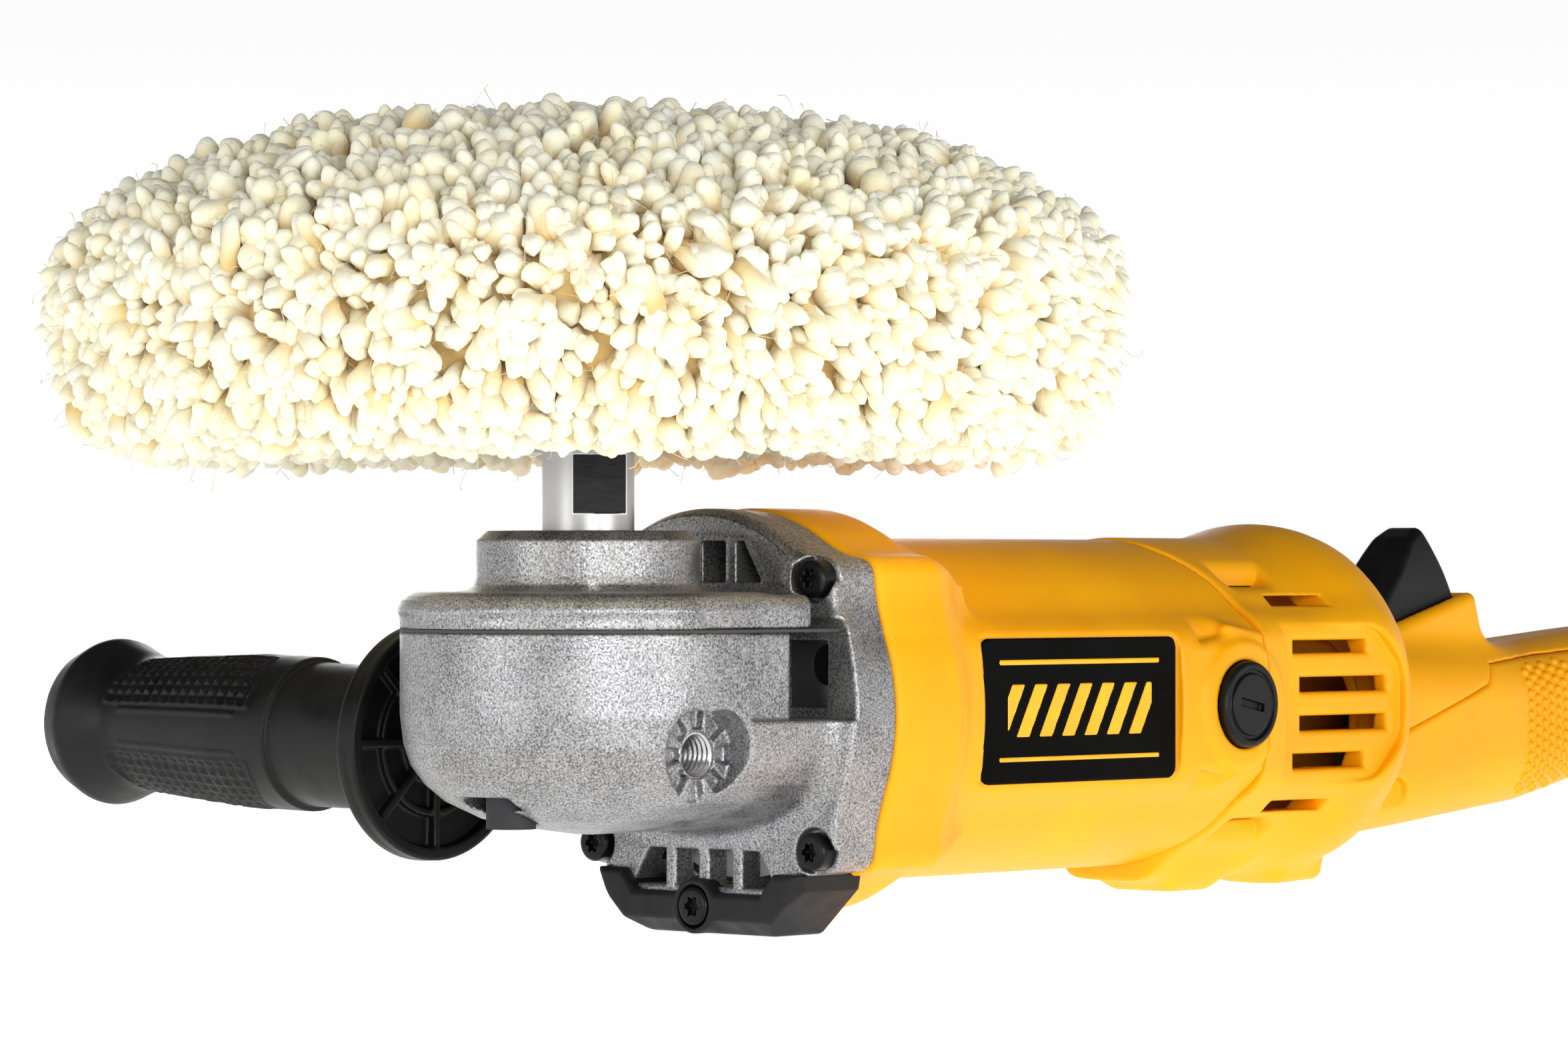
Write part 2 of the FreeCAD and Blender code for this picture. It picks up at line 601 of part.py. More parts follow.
def sector(outer, inner, low, high, turn, angle):
    """Part of a ring about the motor's axis, centred turn degrees from straight up."""
    wedge = doc.addObject("Part::Cylinder", "Wedge")
    bind(wedge, Radius=outer, Height=f"({high}) - ({low})", Angle=angle)
    spin = Rotation(Vector(1, 0, 0), turn - angle / 2) * Rotation(Vector(0, 1, 0), 90)
    spin = spin * Rotation(Vector(0, 0, 1), 180)
    put(wedge, low, 0, "motor_z", turn=spin)
    return cut(wedge, cylinder(inner, f"{low} - 1", f"{high} + 1", "x", MOTOR))


def make_bearing_plate():
    plate = ring("bell_room_rad - 0.1", 6.6, 43, 48, "x", MOTOR)
    boss = ring(16, 13, 47.9, 56, "x", MOTOR)
    holes = [cylinder(6, 42, 46.6, "x", (0, "counter_z"))]
    for index in range(8):
        turn = math.radians(22.5 + 45 * index)
        if turn < math.pi or abs(math.sin(turn)) < 0.6:
            spot = (f"{25 * math.cos(turn):.4f}", f"motor_z + {25 * math.sin(turn):.4f}")
            holes.append(cylinder(4, 42, 49, "x", spot))
    return cut(fuse(plate, boss), *holes)


def make_fan():
    hub = ring(12, "arm_shaft_rad", "fan_low", "fan_high", "x", MOTOR)
    disc = ring("fan_rad", "arm_shaft_rad", "fan_low", "fan_low + 1.6", "x", MOTOR)
    blades = []
    for index in range(12):
        blade = box("fan_low + 1", "fan_high", -0.8, 0.8, 11.5, "fan_rad - 0.5")
        turn = Rotation(Vector(1, 0, 0), 30 * index)
        corner = turn.multVec(Vector(0, -0.8, 11.5))
        blade.Placement = FreeCAD.Placement(Vector(), turn)
        for letter, text in zip("xyz", ("fan_low + 1", f"{corner.y:.4f}", f"motor_z + {corner.z:.4f}")):
            blade.setExpression(f"Placement.Base.{letter}", expression(text))
        blades.append(blade)
    return fuse(hub, disc, *blades)


def make_armature_core():
    core = ring("core_rad", "arm_shaft_rad", "core_low", "core_high", "x", MOTOR)
    slots = []
    for index in range(12):
        turn = math.radians(30 * index)
        spot = (f"{18.6 * math.cos(turn):.4f}", f"motor_z + {18.6 * math.sin(turn):.4f}")
        slots.append(cylinder(1.6, "core_low - 1", "core_high + 1", "x", spot))
    return cut(core, *slots)


def make_coil(turn):
    front = sector(26, 21, "stator_low - coil_len - 0.5", "stator_low - 0.5", turn, 166)
    rear = sector(26, 21, "stator_high + 0.5", "stator_high + coil_len + 0.5", turn, 166)
    bars = [sector(26, 21, "stator_low - 1", "stator_high + 1", turn + side * 69, 28) for side in (-1, 1)]
    return fuse(front, rear, *bars)


def brush_side(side):
    """Formulas for y between two distances from the motor's axis on one side."""
    def span(low, high):
        return (low, high) if side > 0 else (f"-({high})", f"-({low})")
    return span


def make_holder(side):
    low, high = brush_side(side)(14, "shell_rad - 5.2")
    tube = box("brush_x - 5.4", "brush_x + 5.4", low, high, "brush_z - 4.4", "brush_z + 4.4")
    hole_low, hole_high = brush_side(side)(13, "shell_rad - 3")
    return cut(tube, box("brush_x - 4.15", "brush_x + 4.15", hole_low, hole_high, "brush_z - 3.15", "brush_z + 3.15"))


def make_brush(side):
    low, high = brush_side(side)("comm_rad + 0.3", 22)
    return box("brush_x - 4", "brush_x + 4", low, high, "brush_z - 3", "brush_z + 3")


def coil_spring(mean, wire, length, turns):
    """A coil spring along Z from 0, with its wire inside the given length."""
    pitch = (length - 2 * wire) / turns
    path = Part.makeHelix(pitch, pitch * turns, mean)
    path.translate(Vector(0, 0, wire))
    profile = Part.Wire(Part.makeCircle(wire, Vector(mean, 0, wire), Vector(0, 1, 0)))
    return Part.Wire(path.Edges).makePipeShell([profile], True, True)


def make_brush_spring(side):
    return solid(coil_spring(2.2, 0.35, 7, 6), "brush_x", 22.1 * side, "brush_z",
                 Rotation(Vector(1, 0, 0), -90 * side))


def make_cap(side):
    low, high = brush_side(side)("shell_rad - 1", "cap_face")
    stem_low, stem_high = brush_side(side)("shell_rad - 5", "shell_rad - 0.9")
    body = fuse(cylinder("cap_rad", low, high, "y", ("brush_x", "brush_z")),
                cylinder("cap_rad - 1.6", stem_low, stem_high, "y", ("brush_x", "brush_z")))
    slot_low, slot_high = brush_side(side)("cap_face - 1.4", "cap_face + 1")
    groove_low, groove_high = brush_side(side)("cap_face - 0.8", "cap_face + 1")
    groove = cut(cylinder("cap_inner + 0.7", groove_low, groove_high, "y", ("brush_x", "brush_z")),
                 cylinder("cap_inner", f"{groove_low} - 1", f"{groove_high} + 1", "y", ("brush_x", "brush_z")))
    return cut(body, groove, box("brush_x - 3.6", "brush_x + 3.6", slot_low, slot_high,
                                 "brush_z - 0.9", "brush_z + 0.9"))


node("bearing_plate", make_bearing_plate())
node("counter_rear_bearing", ring(6, "counter_shaft_rad + running_gap", 43.2, 46.4, "x", (0, "counter_z")))
node("armature_front_bearing", *bearing("arm_shaft_rad", 13, 48.2, 55.8, "x", MOTOR))
node("armature_shaft", solid(make_armature_shaft()))
node("cooling_fan", make_fan())
node("fan_baffle", ring("shell_rad - shell_wall - 0.1", 22, "fan_high + 2", "fan_high + 4", "x", MOTOR))
node("armature_core", make_armature_core())
node("armature_windings",
     ring("winding_rad", "arm_shaft_rad", "core_low - winding_len", "core_low", "x", MOTOR),
     ring("winding_rad", "arm_shaft_rad", "core_high", "core_high + winding_len", "x", MOTOR))
node("commutator", ring("comm_rad", "arm_shaft_rad", "comm_low", "comm_high", "x", MOTOR))
node("armature_rear_bearing", *bearing("arm_tail_rad", 10.5, 173, 180, "x", MOTOR))
node("stator_core", fuse(ring("stator_rad", 26.6, "stator_low", "stator_high", "x", MOTOR),
                         *[sector(27, "stator_bore", "stator_low", "stator_high", turn, 100) for turn in (0, 180)]))
node("field_windings", make_coil(0), make_coil(180))
node("brush_holders", *mirrored_pair(make_holder))
node("carbon_brushes", *mirrored_pair(make_brush))
node("brush_springs", *mirrored_pair(make_brush_spring))
node("brush_caps", *mirrored_pair(make_cap))

# ---------------------------------------------------------------- motor housing


def make_motor_housing():
    outside = fuse(
        bell_outline("seam_x", "collar_end", "bell_rad - 0.5"),
        cone("bell_rad - 2", "shell_rad", "collar_end - 0.5", "collar_taper", "x", MOTOR),
        cylinder("shell_rad", "collar_end", "split_x", "x", MOTOR),
        cylinder("boss_rad", "-boss_out", "boss_out", "y", ("brush_x", "brush_z")))
    keep = common(outside, box("seam_x", "split_x", -60, 60, -30, 120))
    inside = cylinder("shell_rad - shell_wall", "seam_x - 1", "split_x + 1", "x", MOTOR)
    mouth = cylinder("bell_room_rad", "seam_x - 1", "seam_x + 3.1", "x", MOTOR)
    wells = [cylinder("cap_rad + 0.3", *brush_side(side)("shell_rad - 1.1", 60), "y", ("brush_x", "brush_z"))
             for side in (-1, 1)]
    stems = [cylinder("cap_rad - 1.5", *brush_side(side)(20, 60), "y", ("brush_x", "brush_z"))
             for side in (-1, 1)]
    return cut(keep, inside, mouth, *wells, *stems, *bell_holes(2.5, "seam_x - 1", "seam_x + 16"))


def label(side):
    skin = ring("shell_rad + 0.5", "shell_rad", "label_low_x", "label_high_x", "x", MOTOR)
    low, high = brush_side(side)(20, 50)
    return common(skin, box("label_low_x", "label_high_x", low, high, "label_low_z", "label_high_z"))


node("motor_housing", make_motor_housing())
node("label_plates", *mirrored_pair(label))

# ---------------------------------------------------------------- rear housing


def dome(inset=0):
    """The rear housing's bulb, or its hollow when inset by a wall."""
    start = "split_x" if not inset else "split_x - 1"
    return turned([(start, 0), (start, f"shell_rad - {inset}"), ("rear_peak_x", f"rear_rad - {inset}", f"40 - {inset}"),
                   (f"rear_hip_x - 0.6 * {inset}", f"rear_hip_rad - 0.8 * {inset}", f"14 - {inset}"),
                   (f"rear_end_x - {inset}", "rear_end_rad"), (f"rear_end_x - {inset}", 0)], "x", MOTOR)


TRIGGER_SLOT = [(227.4, 49), (227.4, 57), (234.1, 74), (234.1, 92), (271.4, 92), (271.4, 49)]


def trigger_slot():
    return prism(TRIGGER_SLOT, "-trigger_half - 0.7", "trigger_half + 0.7", "y")


SECTIONS = [(214, 21, 12, 56, 14), (246, 20.5, 14.8, 56, 14), (277, 19.5, 17.7, 55, 14),
            (291, 18.5, 18.6, 55, 14), (324, 17.5, 24.8, 58.1, 14.5), (360, 18, 29.5, 60.5, 14.5),
            (388, 19.5, 29, 65, 15), ("handle_end", 18.5, 32, 64, 14)]
GUARD = [(223, 40), (223, 55.5), (234, 57), (267, 65.5, 6), (273, 67, 2.5), (277.5, 54.5, 4), (283, 50), (283, 40)]
GUARD_ROOM = [(221, 39), (221, 52.5), (234.5, 54), (267, 62.5), (272, 63.5), (274.3, 53), (275, 39)]


def handle_outside():
    return fuse(lofted(SECTIONS), prism(GUARD, -16.5, 16.5, "y"))


def handle_inside():
    room = common(lofted(SECTIONS, "handle_wall"), box(200, "handle_end - 3", -40, 40, 0, 90))
    return fuse(room, prism(GUARD_ROOM, -13.5, 13.5, "y"))


def make_rear_housing():
    shell = cut(dome(), dome(3))
    foot = [box(x, f"{x} + 9", -9, 9, "foot_low", 12) for x in (168, 208)]
    feet = cut(fuse(*foot), dome(1))
    slots = []
    for side in (-1, 1):
        low, high = brush_side(side)(20, 60)
        for rise, start, end in ((11.9, "slot_start", "slot_end - 4"), (3.8, "slot_start + 2", "slot_end + 1"),
                                 (-4.3, "slot_start + 2", "slot_end + 1"), (-12.3, "slot_start", "slot_end - 4"),
                                 (21.5, "slot_start - 2", "slot_start + 15"), (-21.9, "slot_start - 2", "slot_start + 15")):
            slots.append(box(start, end, low, high, f"motor_z + {rise} - slot_high / 2",
                             f"motor_z + {rise} + slot_high / 2"))
    wells = [cylinder("cap_rad + 0.3", *brush_side(side)("shell_rad - 1.1", 60), "y", ("brush_x", "brush_z"))
             for side in (-1, 1)]
    stems = [cylinder("cap_rad - 1.5", *brush_side(side)(20, 60), "y", ("brush_x", "brush_z"))
             for side in (-1, 1)]
    boss = common(cylinder("boss_rad", "-boss_out", "boss_out", "y", ("brush_x", "brush_z")),
                  box("split_x", "split_x + 20", -60, 60, 0, 90))
    boss = cut(boss, dome(1))
    web = cut(ring(33, 10.5, 174, 179, "x", MOTOR), box(170, 182, -40, 40, "motor_z + 14", 100),
              box(170, 182, -40, 40, 0, "motor_z - 14"))
    return cut(fuse(shell, feet, boss, web), *slots, *wells, *stems, handle_inside(), trigger_slot())


SEAM = [(200, -5), (200, 35), (231, 35), (267, 46), (271, 50.5), (289, 52), (420, 60), (420, -5)]


def make_handle_shell(lower):
    shell = cut(handle_outside(), handle_inside(), dome(), trigger_slot())
    below = prism(SEAM, -50, 50, "y")
    half = common(shell, below) if lower else cut(shell, below)
    openings = [cylinder(7.2, "handle_end - 10", "handle_end + 10", "x", (0, 48)),
                cylinder("trigger_pin_rad", -12.2, 12.2, "y", ("trigger_pivot_x", "trigger_pivot_z")),
                cylinder("lock_rad + 0.1", 5, 40, "y", ("lock_x", "lock_z")),
                box("dial_x - 10", "dial_x + 10", "-dial_half - 0.5", "dial_half + 0.5", 0, 27)]
    return cut(half, *openings)


node("rear_housing", make_rear_housing())
node("handle_lower_shell", make_handle_shell(True))
node("handle_upper_shell", make_handle_shell(False))

# ---------------------------------------------------------------- switch, trigger, dial


def make_trigger():
    paddle = prism([(230.5, 53), (233.5, 60.2), (241, 61.8), (256, 79, 3), (260.5, 81.3, 2), (266.5, 71.5, 10),
                    (270, 65.4), (268, 58), (253, 52)], "-trigger_half", "trigger_half", "y")
    return cut(paddle, cylinder("trigger_pin_rad + running_gap", -20, 20, "y", ("trigger_pivot_x", "trigger_pivot_z")))


def make_dial():
    wheel = cylinder("dial_rad", "-dial_half", "dial_half", "y", ("dial_x", "dial_z"))
    ribs = []
    for index in range(18):
        turn = math.radians(20 * index)
        spot = (f"dial_x + {9.6 * math.cos(turn):.4f}", f"dial_z + {9.6 * math.sin(turn):.4f}")
        ribs.append(cylinder(0.8, "-dial_half - 1", "dial_half + 1", "y", spot))
    return cut(wheel, *ribs, cylinder("dial_pin_rad + running_gap", -9, 9, "y", ("dial_x", "dial_z")))


def make_speed_module():
    body = box(246, 277, -8.4, 8.4, 22.6, 35.8)
    slot = box(245, 268, "-dial_half - 0.5", "dial_half + 0.5", 20, 37)
    pin = cylinder("dial_pin_rad", -10, 10, "y", ("dial_x", "dial_z"))
    return cut(body, slot, pin)


node("trigger", make_trigger())
node("trigger_pin", cylinder("trigger_pin_rad", -12.2, 12.2, "y", ("trigger_pivot_x", "trigger_pivot_z")))
node("trigger_spring", solid(coil_spring(3, 0.4, 9, 6), 258, 0, 44.1))
node("switch_body", box(249, 281, -8.5, 8.5, 36.4, 44))
node("lock_on_button", cylinder("lock_rad", 13, 20.3, "y", ("lock_x", "lock_z")))
node("speed_dial", make_dial())
node("dial_pin", cylinder("dial_pin_rad", -8.2, 8.2, "y", ("dial_x", "dial_z")))
node("speed_module", make_speed_module())
node("cable_inlet", cut(fuse(cylinder(7.2, "handle_end - 7", "handle_end + 1", "x", (0, 48)),
                             cylinder(9, "handle_end", "handle_end + 3.5", "x", (0, 48))),
                        cylinder(4, "handle_end - 8", "handle_end + 5", "x", (0, 48))))

# ---------------------------------------------------------------- spindle lock, bumper

node("lock_button", fuse(cylinder("stop_rad", "stop_low", "stop_high", "z", ("stop_x", 0)),
                         box("stop_x", "stop_pin_x + 1.6", -2.6, 2.6, 27.6, "stop_high"),
                         cylinder("stop_pin_rad", 28, "stop_pin_high", "z", ("stop_pin_x", 0))))


def make_bumper():
    block = prism([("-bumper_half", "bumper_top"), ("-bumper_foot_half", 0), ("bumper_foot_half", 0),
                   ("bumper_half", "bumper_top")], "bumper_front", "bumper_back", "x")
    bell = bell_outline("bell_start", "seam_x", "bell_rad")
    collar = bell_outline("seam_x", "collar_end", "bell_rad - 0.5")
    notch = prism([(-21.5, "bumper_top + 1"), (-17.5, 8.5), (17.5, 8.5), (21.5, "bumper_top + 1")],
                  "bumper_front - 1", "bell_start + 0.1", "x")
    under_case = turned([(0, 0), (37, 0), (37, 30), (0, 30)])
    bevel = prism([("bumper_front - 1", 0), ("bumper_front - 1", 13), ("bumper_front", 13),
                   ("bell_start", 0)], -40, 40, "y")
    return cut(block, bell, collar, notch, bevel, cylinder(2, 20, 60, "x", (0, "bumper_screw_z")))


node("bumper", make_bumper())
node("bumper_screw", stand(cap_screw(3.95, 2.4, 1.95, 10), "bumper_front + 0.9", 0, "bumper_screw_z"))

# ---------------------------------------------------------------- pad


def make_pad():
    wool = turned([(30, "pad_low"), (88, "pad_low", 4), ("pad_rad - 1", 112, 20), ("pad_rad", 126, 12),
                   (92, 142, 16), (70, 152.5, 20), (45, "pad_high"), (0, "pad_high"), (0, "hub_high + 0.4"),
                   ("hub_rad + 0.4", "hub_high + 0.4"), ("hub_rad + 0.4", "plate_high + 0.4"),
                   ("plate_rad + 0.4", "plate_high + 0.4"), ("plate_rad + 0.4", "plate_low - 0.4"),
                   (30, "plate_low - 0.4")])
    return wool


node("backing_plate", ring("plate_rad", "hub_rad", "plate_low", "plate_high"))
node("pad_hub", ring("hub_rad", "thread_rad", "hub_low", "hub_high"))
node("wool_pad", make_pad())

# ---------------------------------------------------------------- side handle


def side_turned(points):
    return on_side_axis(turned(points, "y"))


node("side_handle_stud", side_turned([("socket_floor + 0.4", 0), ("socket_floor + 0.4", "stud_rad - 0.1"),
                                      (34, "stud_rad - 0.1"), (34, 3.5), ("neck_end + 20", 3.5),
                                      ("neck_end + 20", 0)]))
node("side_handle_guard", side_turned([("socket_face + 0.2", 4), ("socket_face + 0.2", 8), (37.2, 8), ("guard_near", 10), ("guard_near", "guard_rad - 1"),
                                       ("guard_near + 1.2", "guard_rad"), ("guard_far - 1.2", "guard_rad"),
                                       ("guard_far", "guard_rad - 2"), ("guard_far", 16.5, 1.5),
                                       ("guard_far + 6", "neck_rad", 2), ("neck_end", "neck_rad + 0.3"),
                                       ("neck_end", 3.5), (34, 3.5), (34, 4)]))
node("side_handle_grip", side_turned([("neck_end", 3.5), ("neck_end", 13.5), (84, 14.2, 8), (95, 15.4, 12),
                                      (122, 14.2, 12), (131, 14.4, 6), (138, 17.4, 5), ("side_end", 15, 6),
                                      ("side_end", 0), ("neck_end + 20", 0), ("neck_end + 20", 3.5)]))

# ---------------------------------------------------------------- check and write

doc.recompute()
for thing in doc.Objects:
    if "Invalid" in thing.State or "Error" in thing.State:
        raise RuntimeError(f"{thing.Name} ({thing.Label}) could not be made: {thing.State}")
for thing in nodes:
    if thing.Shape.isNull() or not thing.Shape.isValid() or not thing.Shape.Solids:
        raise RuntimeError(f"{thing.Label} is not a valid solid")

os.makedirs("parts", exist_ok=True)
for thing in nodes:
    thing.Shape.exportStep(f"parts/{thing.Label}.step")
    print(thing.Label, len(thing.Shape.Solids), round(thing.Shape.Volume))
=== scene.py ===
import json
import math

import bpy
import numpy as np
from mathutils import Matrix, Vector


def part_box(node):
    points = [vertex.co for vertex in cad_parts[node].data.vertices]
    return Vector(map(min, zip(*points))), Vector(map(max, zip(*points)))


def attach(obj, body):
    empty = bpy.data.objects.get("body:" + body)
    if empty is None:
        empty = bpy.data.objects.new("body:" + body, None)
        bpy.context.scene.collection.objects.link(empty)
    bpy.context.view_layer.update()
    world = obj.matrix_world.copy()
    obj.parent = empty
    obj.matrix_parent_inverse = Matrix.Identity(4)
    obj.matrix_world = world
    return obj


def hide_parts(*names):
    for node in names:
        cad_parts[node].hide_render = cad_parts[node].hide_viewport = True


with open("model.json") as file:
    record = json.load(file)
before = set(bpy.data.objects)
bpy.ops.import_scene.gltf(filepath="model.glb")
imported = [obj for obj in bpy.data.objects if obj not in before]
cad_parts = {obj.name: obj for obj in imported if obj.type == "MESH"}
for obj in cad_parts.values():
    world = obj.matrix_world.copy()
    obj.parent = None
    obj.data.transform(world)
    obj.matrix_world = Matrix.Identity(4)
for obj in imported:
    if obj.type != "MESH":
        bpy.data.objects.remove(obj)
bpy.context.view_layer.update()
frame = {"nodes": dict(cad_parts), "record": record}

# All shapes below are in millimetres, measured from the spindle's axis at the floor:
# +X runs back along the motor, +Y out along the side handle and +Z up to the pad.
MM = 0.001
SPINDLE_LOW, SPINDLE_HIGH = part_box("spindle")
AXIS = ((SPINDLE_LOW + SPINDLE_HIGH) / 2).to_2d().to_3d()
MOTOR_Z = 43.5
SIDE_Z = 36.6
SIDE_TILT = math.radians(1.4)
RANDOM = np.random.default_rng(7)


def in_frame(points):
    """Points in millimetres from the spindle's foot, as metres in the row's frame."""
    return np.asarray(points, float) * MM + np.array(AXIS)


# ---------------------------------------------------------------- distance fields
# A field takes points, an (n, 3) array, and gives each one's signed distance, negative inside.


def union(first, second, blend=0.0):
    """Both shapes, with a fillet of about the blend's size where they meet."""
    if not blend:
        return np.minimum(first, second)
    h = np.maximum(blend - np.abs(first - second), 0) / blend
    return np.minimum(first, second) - h * h * blend / 4


def without(first, second, blend=0.0):
    """The first shape less the second, with its new edges rounded by about the blend's size."""
    return -union(-first, second, blend)


def both(first, second, blend=0.0):
    """The part that is inside both shapes."""
    return -union(-first, -second, blend)


def outline(u, v, points):
    """Signed distance in a plane from (u, v) to a closed outline."""
    nearest = np.full(u.shape, 1e9)
    inside = np.zeros(u.shape, bool)
    for (au, av), (bu, bv) in zip(points, points[1:] + points[:1]):
        eu, ev = bu - au, bv - av
        t = np.clip(((u - au) * eu + (v - av) * ev) / (eu * eu + ev * ev), 0, 1)
        nearest = np.minimum(nearest, (u - au - eu * t) ** 2 + (v - av - ev * t) ** 2)
        if ev:
            inside ^= ((av > v) != (bv > v)) & (u < eu * (v - av) / ev + au)
    return np.where(inside, -1, 1) * np.sqrt(nearest)


def span(w, low, high):
    """Signed distance to the slab between two parallel planes."""
    return np.maximum(low - w, w - high)


def joined(flat, height, edge=0.0):
    """A prism from its outline's distance and its height's, with rounded edges."""
    a, b = flat + edge, height + edge
    return np.minimum(np.maximum(a, b), 0) + np.hypot(np.maximum(a, 0), np.maximum(b, 0)) - edge


def block(p, low, high, edge=0.0):
    """A box with rounded edges."""
    low, high = np.array(low, float), np.array(high, float)
    q = np.abs(p - (low + high) / 2) - (high - low) / 2 + edge
    return np.minimum(q.max(1), 0) + np.linalg.norm(np.maximum(q, 0), axis=1) - edge


def rod(p, centre, axis, radius, low, high, edge=0.0):
    """A cylinder along one axis of the frame, through a point."""
    u, v = [k for k in range(3) if k != axis]
    flat = np.hypot(p[:, u] - centre[u], p[:, v] - centre[v]) - radius
    return joined(flat, span(p[:, axis], low, high), edge)


def ball(p, centre, radius):
    return np.linalg.norm(p - np.array(centre, float), axis=1) - radius


def rounded(points):
    """An outline whose corners given as (u, v, radius) become arcs of five points."""
    result = []
    for k, point in enumerate(points):
        here = np.array(point[:2], float)
        if len(point) == 2:
            result.append(tuple(here))
            continue
        before = np.array(points[k - 1][:2], float) - here
        after = np.array(points[(k + 1) % len(points)][:2], float) - here
        before, after = before / np.linalg.norm(before), after / np.linalg.norm(after)
        half = math.acos(np.clip(before @ after, -1, 1)) / 2
        reach = point[2] / math.tan(half)
        for t in np.linspace(0, 1, 6):
            a, b = here + before * reach * (1 - t), here + after * reach * t
            result.append(tuple(a * (1 - t) + b * t))
    return result


# ---------------------------------------------------------------- meshing
BLOCK = 4
CHUNK = 300000
CORNERS = [(i, j, k) for i in (0, 1) for j in (0, 1) for k in (0, 1)]
EDGES = [(a, b) for a in range(8) for b in range(a + 1, 8)
         if sum(x != y for x, y in zip(CORNERS[a], CORNERS[b])) == 1]


def sampled(field, low, high, step):
    """The field on a grid: coarse blocks everywhere, fine points near the surface."""
    low = np.array(low, float) - 2.5 * step
    pitch = step * BLOCK
    size = np.ceil((np.array(high, float) + 2.5 * step - low) / pitch).astype(int)
    places = np.stack(np.meshgrid(*[np.arange(n) for n in size], indexing="ij"), -1).reshape(-1, 3)
    coarse = field(low + (places + 0.5) * pitch).reshape(size)
    values, near = coarse, np.abs(coarse) < 1.35 * pitch
    for axis in range(3):
        values = np.repeat(values, BLOCK, axis)
        near = np.repeat(near, BLOCK, axis)
    where = np.argwhere(near)
    parts = np.array_split(where, len(where) // CHUNK + 1)
    fine = np.concatenate([field(low + part * step) for part in parts])
    values[near] = fine
    return values, low


def surface_net(field, low, high, step):
    """Vertices and quads on the field's zero surface, drawn onto it with one slope step."""
    values, low = sampled(field, low, high, step)
    inside = values < 0
    cells = tuple(n - 1 for n in values.shape)
    count = np.zeros(cells, np.int8)
    for i, j, k in CORNERS:
        count += inside[i:i + cells[0], j:j + cells[1], k:k + cells[2]]
    active = (count > 0) & (count < 8)
    cell = np.argwhere(active)
    number = np.full(cells, -1, np.int64)
    number[active] = np.arange(len(cell))
    at = [values[tuple((cell + corner).T)] for corner in CORNERS]
    total, crossings = np.zeros((len(cell), 3)), np.zeros(len(cell))
    for a, b in EDGES:
        crosses = (at[a] < 0) != (at[b] < 0)
        t = np.where(crosses, at[a] / np.where(crosses, at[a] - at[b], 1), 0)
        start, way = np.array(CORNERS[a]), np.array(CORNERS[b]) - np.array(CORNERS[a])
        total += crosses[:, None] * (start + t[:, None] * way)
        crossings += crosses
    points = low + (cell + total / crossings[:, None]) * step
    quads = []
    for axis in range(3):
        u, v = (axis + 1) % 3, (axis + 2) % 3
        ahead = np.roll(inside, -1, axis)
        changed = inside != ahead
        edge = np.argwhere(changed)
        ok = (edge[:, u] > 0) & (edge[:, v] > 0) & (edge < np.array(cells)).all(1)
        edge = edge[ok]
        step_u, step_v = np.eye(3, dtype=int)[u], np.eye(3, dtype=int)[v]
        ring = [edge - step_u - step_v, edge - step_v, edge, edge - step_u]
        four = np.stack([number[tuple(c.T)] for c in ring], 1)
        outward = inside[tuple(edge.T)]
        quads.append(np.where(outward[:, None], four, four[:, ::-1]))
    quads = np.concatenate(quads)
    return drawn_on(field, points, step), quads[(quads >= 0).all(1)]


def drawn_on(field, points, step):
    """Moves points onto the field's surface along its slope, by at most half a step."""
    small = step * 0.2
    here = field(points)
    slope = np.stack([field(points + small * e) - here for e in np.eye(3)], 1) / small
    length = np.maximum((slope ** 2).sum(1), 0.25)
    move = -here[:, None] * slope / length[:, None]
    far = np.maximum(np.linalg.norm(move, axis=1) / (0.5 * step), 1)
    return points + move / far[:, None]


def mesh_object(name, points, faces):
    """A smooth mesh object from points in millimetres and an array of faces of one length."""
    mesh = bpy.data.meshes.new(name)
    faces = np.asarray(faces, np.int32)
    mesh.vertices.add(len(points))
    mesh.vertices.foreach_set("co", in_frame(points).astype(np.float32).ravel())
    mesh.loops.add(faces.size)
    mesh.loops.foreach_set("vertex_index", faces.ravel())
    mesh.polygons.add(len(faces))
    mesh.polygons.foreach_set("loop_start", np.arange(len(faces), dtype=np.int32) * faces.shape[1])
    mesh.polygons.foreach_set("use_smooth", np.ones(len(faces), bool))
    mesh.update(calc_edges=True)
    mesh.validate()
    piece = bpy.data.objects.new(name, mesh)
    bpy.context.scene.collection.objects.link(piece)
    return piece


def finished(piece, material, body="tool", replaced=()):
    """Gives a piece its material and its body, and hides the CAD nodes it stands for."""
    piece.data.materials.clear()
    piece.data.materials.append(material)
    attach(piece, body)
    if replaced:
        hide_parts(*replaced)
    return piece


def moulded(name, field, low, high, step, material, body="tool", replaced=()):
    """A piece meshed from its distance field inside a box."""
    step = step
    points, quads = surface_net(field, low, high, step)
    return finished(mesh_object(name, points, quads), material, body, replaced)


# ---------------------------------------------------------------- materials


def srgb(red, green, blue):
    """A linear colour from the usual 0 to 255 values."""
    return tuple((c / 255 / 12.92) if c <= 10 else ((c / 255 + 0.055) / 1.055) ** 2.4
                 for c in (red, green, blue)) + (1,)


